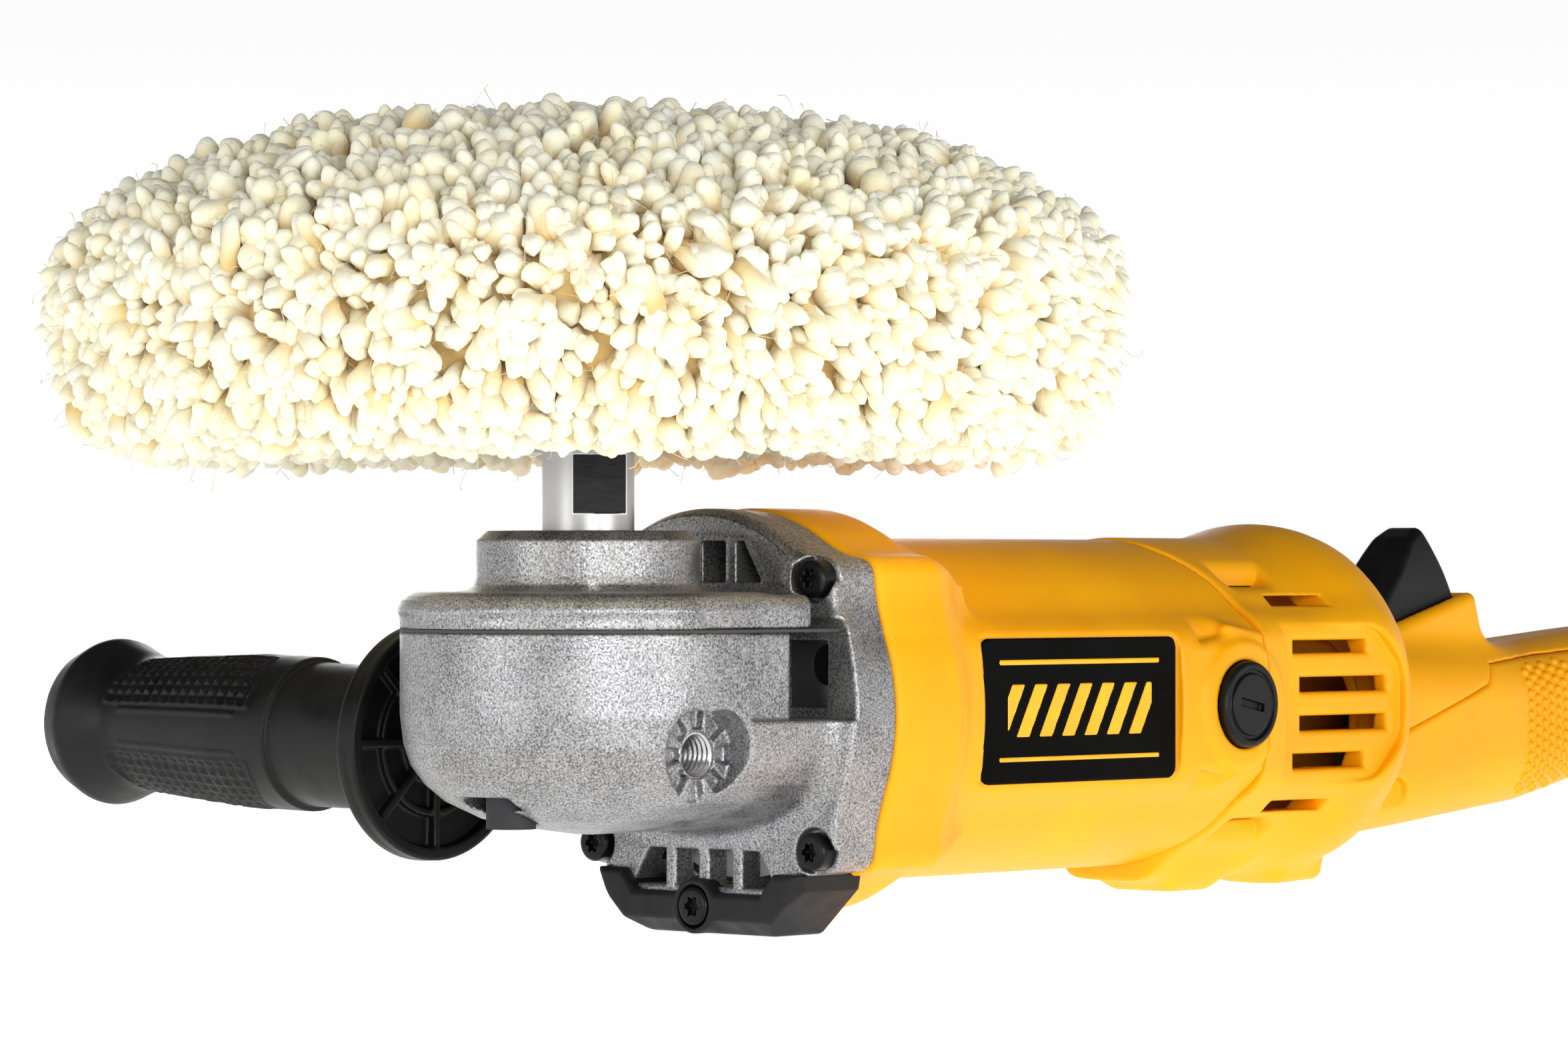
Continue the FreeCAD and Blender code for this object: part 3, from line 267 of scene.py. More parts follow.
def surface(name, dark, light, rough, grain, depth, blotch=12.0, metallic=0.0, stretch=(1, 1, 1),
            contrast=(0.3, 0.7),
            speckle=0.0, **sockets):
    """A material whose colour drifts over blotches and whose surface has a fine grain.

    rough is the lowest and highest roughness, grain and blotch are sizes in mm, depth is the bump's height
    in mm, and speckle is how far the fine grain itself mixes the two colours.
    """
    material = bpy.data.materials.new(name)
    material.use_nodes = True
    nodes, links = material.node_tree.nodes, material.node_tree.links
    shader = nodes["Principled BSDF"]
    place = nodes.new("ShaderNodeTexCoord")
    mapping = nodes.new("ShaderNodeMapping")
    mapping.inputs["Scale"].default_value = stretch
    links.new(place.outputs["Object"], mapping.inputs["Vector"])

    def noise(size, detail):
        node = nodes.new("ShaderNodeTexNoise")
        node.inputs["Scale"].default_value = 1 / (size * MM)
        node.inputs["Detail"].default_value = detail
        links.new(mapping.outputs["Vector"], node.inputs["Vector"])
        return node.outputs["Fac"]

    fine, broad = noise(grain, 3.0), noise(blotch, 4.0)
    mixed = nodes.new("ShaderNodeMix")
    mixed.inputs["Factor"].default_value = speckle
    links.new(broad, mixed.inputs["A"])
    links.new(fine, mixed.inputs["B"])
    ramp = nodes.new("ShaderNodeValToRGB")
    ramp.color_ramp.elements[0].position, ramp.color_ramp.elements[1].position = contrast
    ramp.color_ramp.elements[0].color, ramp.color_ramp.elements[1].color = dark, light
    links.new(mixed.outputs["Result"], ramp.inputs["Fac"])
    links.new(ramp.outputs["Color"], shader.inputs["Base Color"])
    spread = nodes.new("ShaderNodeMapRange")
    spread.inputs["From Min"].default_value, spread.inputs["From Max"].default_value = 0.35, 0.65
    spread.inputs["To Min"].default_value, spread.inputs["To Max"].default_value = rough
    links.new(broad, spread.inputs["Value"])
    links.new(spread.outputs["Result"], shader.inputs["Roughness"])
    bump = nodes.new("ShaderNodeBump")
    bump.inputs["Strength"].default_value = 1.0
    bump.inputs["Distance"].default_value = depth * MM
    links.new(fine, bump.inputs["Height"])
    links.new(bump.outputs["Normal"], shader.inputs["Normal"])
    shader.inputs["Metallic"].default_value = metallic
    for socket, value in sockets.items():
        shader.inputs[socket.replace("_", " ")].default_value = value
    return material


YELLOW = surface("yellow_moulding", srgb(246, 166, 0), srgb(253, 178, 0), (0.4, 0.5), 0.5, 0.012, blotch=25,
                 Specular_IOR_Level=0.28)
ALUMINIUM = surface("blasted_aluminium", srgb(84, 84, 86), srgb(196, 196, 198), (0.36, 0.5), 0.4, 0.05,
                    blotch=9,
                    metallic=0.85, speckle=0.8, contrast=(0.34, 0.66))
MACHINED = surface("machined_aluminium", srgb(150, 150, 152), srgb(205, 205, 207), (0.25, 0.4), 0.3, 0.01,
                   metallic=1.0)
GASKET = surface("dark_seal", srgb(18, 18, 18), srgb(34, 34, 35), (0.5, 0.7), 0.5, 0.02)
BLACK_STEEL = surface("blackened_steel", srgb(14, 14, 15), srgb(40, 40, 42), (0.25, 0.4), 0.35, 0.012,
                      metallic=0.7)
STEEL = surface("ground_steel", srgb(78, 78, 80), srgb(128, 128, 130), (0.2, 0.34), 0.28, 0.012, blotch=3,
                metallic=1.0, stretch=(1, 1, 3.5))
THREAD = surface("cut_thread", srgb(150, 150, 152), srgb(215, 215, 216), (0.15, 0.25), 0.3, 0.004,
                 metallic=1.0)
# The spindle's flats are the same steel as the rest; this darker colour is painted reflection.
PAINTED_FLAT_REFLECTION = surface("painted_flat_reflection", srgb(16, 16, 17), srgb(44, 44, 46), (0.3, 0.45), 0.3, 0.03, blotch=2,
                       metallic=0.6, stretch=(0.25, 0.25, 2), Specular_IOR_Level=0.3)
BRONZE = surface("bronze", srgb(135, 92, 44), srgb(178, 128, 66), (0.3, 0.45), 0.4, 0.012, metallic=1.0)
FAN = surface("fan_plastic", srgb(40, 41, 43), srgb(62, 63, 65), (0.4, 0.55), 0.5, 0.015)
LAMINATIONS = surface("laminations", srgb(62, 60, 58), srgb(118, 114, 110), (0.35, 0.55), 0.4, 0.03,
                      metallic=0.8,
                      stretch=(5, 0.5, 0.5))
COPPER = surface("enamelled_copper", srgb(120, 52, 20), srgb(196, 102, 48), (0.25, 0.4), 0.6, 0.06,
                 metallic=0.9,
                 stretch=(0.6, 2, 2))
BRASS = surface("brass", srgb(168, 132, 56), srgb(206, 172, 88), (0.28, 0.42), 0.4, 0.012, metallic=1.0)
CARBON = surface("carbon", srgb(20, 20, 21), srgb(44, 44, 46), (0.5, 0.65), 0.4, 0.02)
BLACK = surface("black_moulding", srgb(9, 9, 10), srgb(18, 18, 19), (0.36, 0.5), 0.45, 0.03, blotch=14,
                Specular_IOR_Level=0.24)
TRIGGER_BLACK = surface("trigger_moulding", srgb(11, 11, 12), srgb(22, 22, 23), (0.36, 0.46), 0.5, 0.045,
                        blotch=10,
                        Specular_IOR_Level=0.24)
LABEL = surface("label_film", srgb(2, 2, 2), srgb(5, 5, 5), (0.45, 0.6), 0.8, 0.006, blotch=20,
                Specular_IOR_Level=0.05)
PRINT = surface("label_print", srgb(246, 176, 0), srgb(255, 192, 6), (0.3, 0.4), 0.6, 0.004, blotch=10)
BOARD = surface("circuit_board", srgb(12, 66, 34), srgb(26, 104, 56), (0.35, 0.5), 0.5, 0.02)
RUBBER = surface("black_rubber", srgb(9, 9, 10), srgb(20, 20, 21), (0.36, 0.54), 0.6, 0.035, blotch=10,
                 Specular_IOR_Level=0.28)
WORN_RUBBER = surface("bumper_rubber", srgb(13, 13, 14), srgb(34, 34, 36), (0.42, 0.62), 0.7, 0.05, blotch=6,
                      Specular_IOR_Level=0.24)

# The record's slots and the material that each CAD node of that slot is finished in.
SLOT_MATERIALS = {
    "cast_aluminium": MACHINED, "gasket_dark": GASKET, "black_screw": BLACK_STEEL, "steel": STEEL,
    "bronze": BRONZE, "fan_plastic": FAN, "laminations": LAMINATIONS, "copper": COPPER, "brass": BRASS,
    "carbon": CARBON, "yellow_shell": YELLOW, "black_plastic": BLACK, "label": LABEL, "circuit_board": BOARD,
    "black_rubber": RUBBER, "wool": RUBBER,
}


def finish_cad_nodes():
    """Gives every carried-over CAD node the material of its record slot."""
    for entry in frame["record"]["materials"]:
        material = SLOT_MATERIALS[entry["slot"]]
        for name in entry.get("nodes") or []:
            node = frame["nodes"][name]
            node.data.materials.clear()
            node.data.materials.append(material)


# ---------------------------------------------------------------- gear case
CASE_RAD, CASE_TOP, CASE_END, COVER_END = 36.2, 59.7, 33.0, 26.5
BELL_RAD, BELL_START, BELL_END = 40.0, 32.0, 44.9
LOBE_Y, LOBE_Z = 29.5, 26.4
COVER_LOW, SHOULDER = 60.3, 66.9
SOCKET_RAD, STUD_BORE = 8.65, 4.3
SEAT_Y = -29.3
STOP_X = -20.7
BUMPER_FRONT, BUMPER_SCREW_Z = 29.3, 5.6
CASE_OUTLINE = [(0, 20.8), (2.8, 20.8), (13.9, 22.3), (20.7, 23.9), (27.6, 27.2), (31.4, 30.4), (34.2, 34.2),
                (35.5, 38.2), (36.2, 44), (36.2, CASE_TOP), (0, CASE_TOP)]
COVER_OUTLINE = rounded([(0, COVER_LOW), (CASE_RAD, COVER_LOW), (CASE_RAD, SHOULDER, 4.2), (26, SHOULDER),
                         (23.3, 67.5),
                         (21.9, 68.8), (21.5, 70.6), (21.5, 77.2), (19.4, 79.1), (9.3, 79.1),
                         (9.3, COVER_LOW)])


def head_radius(p):
    """Distance from the spindle's axis in front of it, and from the middle plane behind it."""
    return np.hypot(np.minimum(p[:, 0], 0), p[:, 1])


def bell_section(p, grow=0.0):
    """The flange's outline across the motor's axis: a circle with four blocky corners."""
    y, z = np.abs(p[:, 1]), np.abs(p[:, 2] - MOTOR_Z)
    circle = np.hypot(y, z) - BELL_RAD
    square = outline(y, z,
                     rounded([(-20, -20), (34.4, -20), (34.4, 20), (34.4, 30.6, 4.5), (20, 30.6),
                              (-20, 30.6)]))
    arm = outline(y, z, [(0, 0), (34.4, 17.5), (34.4, 31), (21, 31)])
    return union(circle, np.maximum(square, arm), 4) - grow


def eighth(angle):
    """An angle measured from the middle of its own eighth of a turn."""
    return (angle + math.pi / 8) % (math.pi / 4) - math.pi / 8


def lobes(p, radius, low, high, edge=0.0):
    """Four rods along the motor's axis at the flange's screws."""
    y, z = np.abs(p[:, 1]) - LOBE_Y, np.abs(p[:, 2] - MOTOR_Z) - LOBE_Z
    return joined(np.hypot(y, z) - radius, span(p[:, 0], low, high), edge)


def vents(p, low, high, outer, taper):
    """Four windows side by side under or over the bell; the outer two are narrower at their top."""
    x, y, z = p[:, 0], np.abs(p[:, 1]), p[:, 2]
    height = span(x, 28, 42)
    inner = joined(np.maximum(span(y, 1.4, 7.7), span(z, low, high)) + 0.8, height) - 0.8
    slope = [(10.4, low), (outer, low), (outer - taper, high), (10.4, high)]
    return union(inner, joined(outline(y, z, slope) + 0.6, height) - 0.6)


def gear_case(p):
    x, y, z = p.T
    head = joined(outline(head_radius(p), z, CASE_OUTLINE), span(x, -50, CASE_END))
    bell = joined(bell_section(p), span(x, BELL_START, BELL_END), 1.3)
    hood = joined(np.hypot(y, z - MOTOR_Z) - 39.3, span(x, 28.5, 40), 3.0)
    hood = np.maximum(hood, SHOULDER - z)
    shape = union(head, union(bell, hood, 2.0), 5.5)
    shape = np.maximum(shape, np.where(x < 30, z - CASE_TOP, -9))
    panel = joined(outline(x, z, rounded([(7.5, 42.9, 1.5), (32.6, 42.9), (32.6, 62), (7.5, 62)])),
                   span(np.abs(y), 34.6, 60))
    deep = joined(outline(x, z, [(20, 42.9), (33, 42.9), (33, 62), (20, 62)]), span(np.abs(y), 17, 60))
    behind = joined(outline(x, z, [(24, 45), (42, 45), (42, 58), (24, 58)]), span(np.abs(y), 19, 32.4))
    shape = without(without(shape, panel, 0.6), union(deep, behind), 0.5)
    shape = without(shape, vents(p, 9.4, 16.6, 19.4, 4.5), 0.6)
    shape = without(shape, vents(p, 69.2, 77.3, 17.5, 5.0), 0.8)
    holes = lobes(p, 4.6, 20, BELL_START + 2.4)
    shape = without(shape, holes, 0.6)
    side = rod(p, (0, 0, SIDE_Z), 1, SOCKET_RAD, -60, SEAT_Y)
    slanted = joined(np.hypot(x + 1.05 * np.maximum(SEAT_Y - y, 0), z - SIDE_Z) - SOCKET_RAD,
                     span(y, -60, SEAT_Y))
    radius, angle = np.hypot(x, z - SIDE_Z), np.arctan2(z - SIDE_Z, x)
    wedge = np.abs(radius * np.sin(eighth(angle))) - 0.6 - 0.13 * radius
    star = joined(np.maximum(wedge, span(radius, 4.9, 8.9)), span(y, SEAT_Y - 2, SEAT_Y + 1.8))
    shape = without(without(shape, union(side, slanted), 0.8), star, 0.3)
    shape = without(shape, rod(p, (0, 0, SIDE_Z), 1, 4.5, -60, -20.0), 0.2)
    tilted = z - y * math.tan(SIDE_TILT)
    off_axis = np.hypot(x, tilted - SIDE_Z)
    shape = without(shape, joined(off_axis - SOCKET_RAD, span(y, 29, 60)), 0.8)
    shape = without(shape, joined(off_axis - STUD_BORE, span(y, 21.6, 60)), 0.3)
    button = rod(p, (STOP_X, 0, 0), 2, 5.2, 10, 34.5)
    slot = block(p, (-36, -7.0, 26.2), (-14.5, 7.0, 28.6), 0.8)
    shape = without(without(shape, button, 0.5), slot, 0.5)
    room = union(rod(p, (0, 0, 0), 2, 20.9, 26, CASE_TOP + 2),
                 block(p, (0, -13, 27), (50, 13, CASE_TOP - 2.5), 2))
    room = union(room, rod(p, (0, 0, MOTOR_Z), 0, 34.0, 37.5, 50), 2)
    return without(shape, room)


def gear_case_cover(p):
    x, y, z = p.T
    plate = outline(head_radius(p), z, COVER_OUTLINE)
    nose = outline(np.hypot(x, y), z, COVER_OUTLINE)
    plate = joined(np.maximum(plate, z - SHOULDER), span(x, -50, COVER_END))
    plan = block(p, (-60, -CASE_RAD, 50), (COVER_END, CASE_RAD, 80), 4.0)
    low_nose = np.maximum(nose, 64 - z)
    shape = union(both(plate, plan, 1.5), low_nose, 2.0)
    shape = without(shape, rod(p, (0, 0, 0), 2, 9.3, 50, 90), 0.4)
    shape = without(shape, rod(p, (0, 0, 0), 2, 14.2, 77.9, 90), 0.3)
    dimple = ball(p, (-16.2, -17.6, 68.6), 2.1)
    return without(shape, dimple, 0.5)


def bumper(p):
    x, y, z = p.T
    front = outline(y, z,
                    rounded([(-27.5, 12.5), (-26.9, 9.2), (-17.1, 0, 2.5), (17.1, 0, 2.5), (26.9, 9.2),
                             (27.5, 12.5),
                                   (20.6, 12.5), (17.2, 8.3), (-17.2, 8.3), (-20.6, 12.5)]))
    shape = joined(front, span(x, BUMPER_FRONT, 48.6), 1.2)
    bevel = (np.abs(y) - 21.5) * 0.78 - (x - BUMPER_FRONT) * 0.62 - (z - 3.2) * 0.35 - 0.6
    shape = both(shape, bevel, 0.6)
    low_bevel = (BUMPER_FRONT - x) * 0.5 + (3.4 - z) * 0.86 - 0.3
    shape = both(shape, low_bevel, 0.5)
    boss = rod(p, (0, 0, BUMPER_SCREW_Z), 0, 5.4, 28.9, 34, 0.5)
    shape = union(shape, boss, 0.8)
    return without(shape, rod(p, (0, 0, BUMPER_SCREW_Z), 0, 4.3, 20, 31.2), 0.3)


def torx_head(p, centre, radius, face, thickness):
    """A pan head facing -X with a six-lobed recess."""
    x = p[:, 0]
    y, z = p[:, 1] - centre[0], p[:, 2] - centre[1]
    r, angle = np.hypot(y, z), np.arctan2(z, y)
    head = joined(r - radius, span(x, face, face + thickness), 0.9)
    star = joined(r - radius * (0.44 + 0.08 * np.cos(6 * angle)), span(x, face - 2, face + 1.8))
    return without(head, star, 0.25)


def socket_thread(p):
    """The cut thread inside the open side handle socket."""
    x, y, z = p.T
    radius, angle = np.hypot(x, z - SIDE_Z), np.arctan2(z - SIDE_Z, x)
    ridge = np.abs((y / 1.25 + angle / (2 * math.pi)) % 1 - 0.5) * 2
    return joined(np.maximum(radius - 4.55, 3.75 + 0.55 * ridge - radius), span(y, SEAT_Y + 0.6, -20.5))


def painted_vent_shade(p):
    """A black disc behind the bell's vents: painted shade for the dark inside of the fan chamber."""
    r = np.hypot(p[:, 1], p[:, 2] - MOTOR_Z)
    return joined(np.maximum(r - 33.9, 16 - r), span(p[:, 0], 43.2, 44.6), 0.3)


def spanner_flat(p, side):
    """A thin dark skin over one of the two flats on the spindle, which are turned about its axis; its
    darkness is painted reflection on the same steel.
    """
    turn = math.radians(-27)
    u = p[:, 0] * math.cos(turn) + p[:, 1] * math.sin(turn)
    v = side * (p[:, 1] * math.cos(turn) - p[:, 0] * math.sin(turn))
    return joined(np.maximum(np.abs(u) - 5.42, span(v, 6.4, 7.03)), span(p[:, 2], 82.3, 93.8))


def make_gear_head():
    # Dark skins on the spindle's flats: painted reflection.
    for side, word in ((-1, "near"), (1, "far")):
        moulded(f"spindle_flat_{word}", lambda p: spanner_flat(p, side), (-9, -9, 82), (9, 9, 94), 0.2,
                PAINTED_FLAT_REFLECTION,
                body="spindle")
    moulded("gear_case_casting", gear_case, (-37, -41, 3), (46, 41, 84), 0.55, ALUMINIUM,
            replaced=("gear_case",))
    moulded("gear_case_cover_casting", gear_case_cover, (-37, -37, 60), (32, 37, 80), 0.45, ALUMINIUM,
            replaced=("gear_case_cover",))
    moulded("bumper_moulding", bumper, (28, -28, 0), (50, 28, 13), 0.4, WORN_RUBBER,
            replaced=("bumper",))
    moulded("side_socket_thread", socket_thread, (-5, SEAT_Y, 31), (5, -20, 42), 0.16, THREAD)
    # The black disc behind the bell's vents is painted shade for the dark fan chamber.
    moulded("painted_vent_shade_disc", painted_vent_shade, (42, -34, 9), (46, 34, 78), 0.6, GASKET)
    replaced = ("bell_screws",)
    for side in (-1, 1):
        for end in (-1, 1):
            centre = (side * LOBE_Y, MOTOR_Z + end * LOBE_Z)
            low = (29, centre[0] - 4.5, centre[1] - 4.5)
            high = (36, centre[0] + 4.5, centre[1] + 4.5)
            moulded(f"bell_screw_{'near' if side < 0 else 'far'}_{'low' if end < 0 else 'high'}",
                    lambda p: torx_head(p, centre, 3.75, 30.6,
                                        4.6), low, high, 0.22, BLACK_STEEL,
                    replaced=replaced)
            replaced = ()
    moulded("bumper_screw_head", lambda p: torx_head(p, (0, BUMPER_SCREW_Z), 3.9, 28.6, 3.4), (28, -4.5, 1),
            (33, 4.5, 10.5), 0.22,
            BLACK_STEEL, replaced=("bumper_screw",))


# ---------------------------------------------------------------- motor housing
TUBE_RAD, SEAM_START, CAP_X, CAP_Z = 34.6, 45.1, 156.0, 43.7
SPLIT_GAP, WELL_RAD = 0.12, 9.3
LABEL_LOW, LABEL_HIGH, LABEL_FACE = (75.0, 29.0), (136.0, 58.0), 35.1


def split_place(p):
    """Where along the motor the two yellow housings meet: further back on the sides."""
    side = np.clip((np.abs(p[:, 1]) - 8) / 22, 0, 1)
    return 155.6 + 8.2 * side * side * (3 - 2 * side)


def from_cap(p):
    """Distance from the axis that the two brush caps share."""
    return np.hypot(p[:, 0] - CAP_X, p[:, 2] - CAP_Z)


def motor_shape(p):
    """The outside of the motor housing and the start of the rear one."""
    x, y, z = p.T
    tube = joined(np.hypot(y, z - MOTOR_Z) - TUBE_RAD, span(x, 44, 200))
    flat = block(p, (68, -35.3, 27.5), (170, 35.3, 59.8), 5)
    tube = union(tube, flat, 7)
    neck = np.clip((x - 63) / 14, 0, 1)
    collar = joined(bell_section(p, -0.1) + 5.5 * neck * neck * (3 - 2 * neck), span(x, SEAM_START, 77), 1.0)
    step = joined(bell_section(p, 0.2), span(x, SEAM_START, 63.5), 1.0)
    shape = union(union(tube, collar, 3), step, 1.2)
    boss = joined(from_cap(p) - 13.4, span(np.abs(y), 20, 37.6), 1.6)
    wedge = joined(outline(x, z, rounded([(141, 33), (150, 27), (165, 30), (165, 58), (150, 61), (141, 55)])),
                   span(np.abs(y), 20, 35.9), 1.0)
    shape = union(union(shape, wedge, 2.0), boss, 1.6)
    for end in (-1, 1):
        corners = rounded([(144, end * 13.5), (151.5, end * 14.5, 2), (149.5, end * 24.5, 3),
                           (144.5, end * 26)])
        scoop = joined(outline(x, z - MOTOR_Z, corners), span(np.abs(y), 33.2, 60))
        shape = without(shape, scoop, 2.5)
    return shape


def motor_housing(p):
    x, y, z = p.T
    shape = both(motor_shape(p), x - split_place(p) + SPLIT_GAP, 0.5)
    recess = block(p, (LABEL_LOW[0] - 0.7, -60, LABEL_LOW[1] - 0.7),
                   (LABEL_HIGH[0] + 0.7, 60, LABEL_HIGH[1] + 0.7), 3)
    shape = without(shape, np.maximum(recess, LABEL_FACE - 0.75 - np.abs(y)), 0.4)
    shape = without(shape, joined(from_cap(p) - WELL_RAD, span(np.abs(y), 30, 60)), 0.6)
    bore = rod(p, (0, 0, MOTOR_Z), 0, 31.0, 40, 175)
    brush = joined(from_cap(p) - 8.6, span(np.abs(y), 20, 60))
    return without(without(shape, bore), brush)


def label_plate(p, side):
    x, y, z = p.T
    flat = block(np.stack([x, np.zeros_like(x), z], 1), (LABEL_LOW[0], -9, LABEL_LOW[1]),
                 (LABEL_HIGH[0], 9, LABEL_HIGH[1]), 2.4)
    return joined(flat, span(side * y, LABEL_FACE - 0.8, LABEL_FACE - 0.05), 0.15)


def label_stripes(p, side):
    """Two thin rules with a row of slanted bars between them."""
    x, y, z = p.T
    across = span(x, 80.5, 130.5)
    rules = np.minimum(np.maximum(across, span(z, 33.3, 34.3)), np.maximum(across, span(z, 52.7, 53.7)))
    slant = (x + 0.55 * (z - MOTOR_Z) * side - 80) % 7.0 - 3.5
    bars = np.maximum(np.maximum(np.abs(slant) * 0.87 - 1.75, span(z, 38.2, 48.8)), span(x, 83.0, 128.0))
    return joined(np.minimum(rules, bars), span(side * y, LABEL_FACE - 0.9, LABEL_FACE + 0.05))


def brush_cap(p, side):
    x, y, z = p[:, 0] - CAP_X, side * p[:, 1], p[:, 2] - CAP_Z
    r = np.hypot(x, z)
    cap = joined(r - 9.0, span(y, 33.5, 39.4), 1.0)
    groove = joined(np.abs(r - 6.9) - 0.45, span(y, 38.8, 41))
    turned = np.stack([x * math.cos(0.2) - z * math.sin(0.2), y, x * math.sin(0.2) + z * math.cos(0.2)], 1)
    slot = block(turned, (-4.0, 38.2, -0.8), (4.0, 41, 0.8), 0.2)
    return without(without(cap, groove, 0.4), slot, 0.3)


def make_motor_housing():
    moulded("motor_housing_shell", motor_housing, (44, -41, 3), (166, 41, 85), 0.7, YELLOW,
            replaced=("motor_housing",))
    for side, word in ((-1, "near"), (1, "far")):
        ends = sorted((side * 33.0, side * 36.0))
        moulded(f"label_{word}", lambda p: label_plate(p, side), (74, ends[0], 28), (137, ends[1], 59), 0.35,
                LABEL,
                replaced=("label_plates",) if side < 0 else ())
        moulded(f"label_print_{word}", lambda p: label_stripes(p, side), (79, ends[0], 32),
                (132, ends[1], 55), 0.3,
                PRINT)
        ends = sorted((side * 33.0, side * 40.0))
        moulded(f"brush_cap_{word}", lambda p: brush_cap(p, side), (146, ends[0], 34), (166, ends[1], 54),
                0.25, BLACK,
                replaced=("brush_caps",) if side < 0 else ())


# ---------------------------------------------------------------- rear housing
DOME = rounded([(150, 0), (150, 34.6), (184, 34.4, 12), (203, 38.7, 30), (219, 36.4, 14), (225.5, 12, 5),
                (225.5, 0)])
SLOTS = [(175.5, 193, 64.0, 66.2), (175.5, 193, 20.4, 22.8), (176, 201.5, 54.0, 56.8),
         (178.4, 208.5, 45.8, 49.0),
         (178.4, 208.5, 37.6, 40.8), (176, 200.5, 29.6, 32.8)]


def dome_shape(p):
    x, y, z = p.T
    dome = outline(x, np.hypot(y, z - MOTOR_Z), DOME)
    side = block(p, (150, -35.6, 25), (212, 35.6, 62), 6)
    shape = union(dome, side, 6)
    for low, high in ((166, 181), (203, 220)):
        shape = union(shape, block(p, (low, -9, 3.8), (high, 9, 20), 2.5), 5)
    heel = block(p, (152, -13, 6.2), (190, 13, 20), 5.5)
    return union(shape, heel, 7)


def rear_housing(p):
    x, y, z = p.T
    shape = union(motor_shape(p), dome_shape(p), 2.0)
    shape = both(shape, split_place(p) + SPLIT_GAP - x, 0.5)
    for end in (-1, 1):
        scoop = block(p, (166, -60, MOTOR_Z + end * 28.5 - 4), (182, 60, MOTOR_Z + end * 28.5 + 4), 3)
        shape = without(shape, np.maximum(scoop, 19.5 - np.abs(y)), 2)
    sides = np.abs(y)
    grille = np.full(x.shape, 1e9)
    for low, high, bottom, top in SLOTS:
        grille = np.minimum(grille, np.maximum(span(x, low, high), span(z, bottom, top)))
    shape = without(shape, joined(grille, span(sides, 12, 60)), 0.5)
    corners = rounded([(172, 27), (203, 27, 8), (212.5, 36, 8), (212.5, 51, 8), (203, 59.5, 8), (172, 59.5)])
    rebate = np.maximum(outline(x, z, corners), 34.7 - sides)
    shape = without(shape, rebate, 1.4)
    shape = without(shape, np.maximum(outline(x, np.hypot(y, z - MOTOR_Z), DOME) + 6.8, 158 - x))
    shape = without(shape, joined(from_cap(p) - WELL_RAD, span(sides, 30, 60)), 0.6)
    shape = without(shape, rod(p, (0, 0, MOTOR_Z), 0, 31.2, 140, 190))
    return without(shape, handle_outer(p) - 0.25, 0.8)


# ---------------------------------------------------------------- rear handle
SECTIONS = np.array([(214, 20.6, 12.0, 56, 14), (246, 20.3, 14.8, 56, 14), (277, 19.5, 17.7, 55.5, 14),
                     (291, 18.5, 18.8, 55.3, 14), (324, 17.5, 24.8, 58.1, 14.5), (360, 18, 29.5, 60.5, 14.5),
                     (388, 19.5, 29.5, 64.5, 15), (402, 18.5, 32, 64, 14)])
HUMP = rounded([(219, 30), (219, 55), (234, 57, 3), (266.5, 65.5, 6), (273, 67, 2), (276.8, 54.8, 5),
                (287, 48), (287, 30)])
HANDLE_GAP, HANDLE_WALL = 0.1, 3.0
SPLIT_LINE = np.array([(200, 35), (231, 35), (267, 46), (271, 50.5), (289, 52), (420, 60)])


def handle_outer(p):
    x, y, z = p.T
    half, low, high, corner = (np.interp(x, SECTIONS[:, 0], SECTIONS[:, k]) for k in range(1, 5))
    v = z - (low + high) / 2
    qy, qz = np.abs(y) - half + corner, np.abs(v) - (high - low) / 2 + corner
    flat = np.minimum(np.maximum(qy, qz), 0) + np.hypot(np.maximum(qy, 0), np.maximum(qz, 0)) - corner
    bar = joined(flat, span(x, 214, 402), 3.5)
    hump = joined(outline(x, z, HUMP), span(y, -11.5, 11.5), 2.6)
    return union(bar, hump, 5)


def handle_field(upper):
    """One of the handle's two shells, cut at the parting line, with a small bevel along it."""
    def field(p):
        x, y, z = p.T
        line = np.interp(x, SPLIT_LINE[:, 0], SPLIT_LINE[:, 1])
        shape = handle_outer(p)
        shape = both(shape, (line - z if upper else z - line) + HANDLE_GAP, 0.7)
        slot = np.maximum(outline(x, z,
                                  [(229.6, 49), (229.6, 57), (232, 74), (232, 92), (271.5, 92), (271.5, 49)]),
                          np.abs(y) - 8.6)
        shape = without(shape, slot, 0.5)
        shape = without(shape, handle_outer(p) + HANDLE_WALL)
        screw = union(rod(p, (232, 0, 22), 1, 4.0, -40, -17.6), rod(p, (312, 0, 33), 1, 3.6, -40, -14.5))
        shape = without(shape, screw, 0.5)
        shape = without(shape, block(p, (246.6, -4.3, 0), (267.4, 4.3, 30), 0.5), 0.5)
        shape = without(shape, rod(p, (288, 0, 38), 1, 4.8, 8, 30), 0.5)
        shape = without(shape, rod(p, (400, 0, 48), 0, 7.3, 390, 410), 0.4)
        return np.maximum(shape, 217 - x)
    return field


DOT_COLUMNS, DOTS_START, DOT_PITCH = 41, 283, 2.9


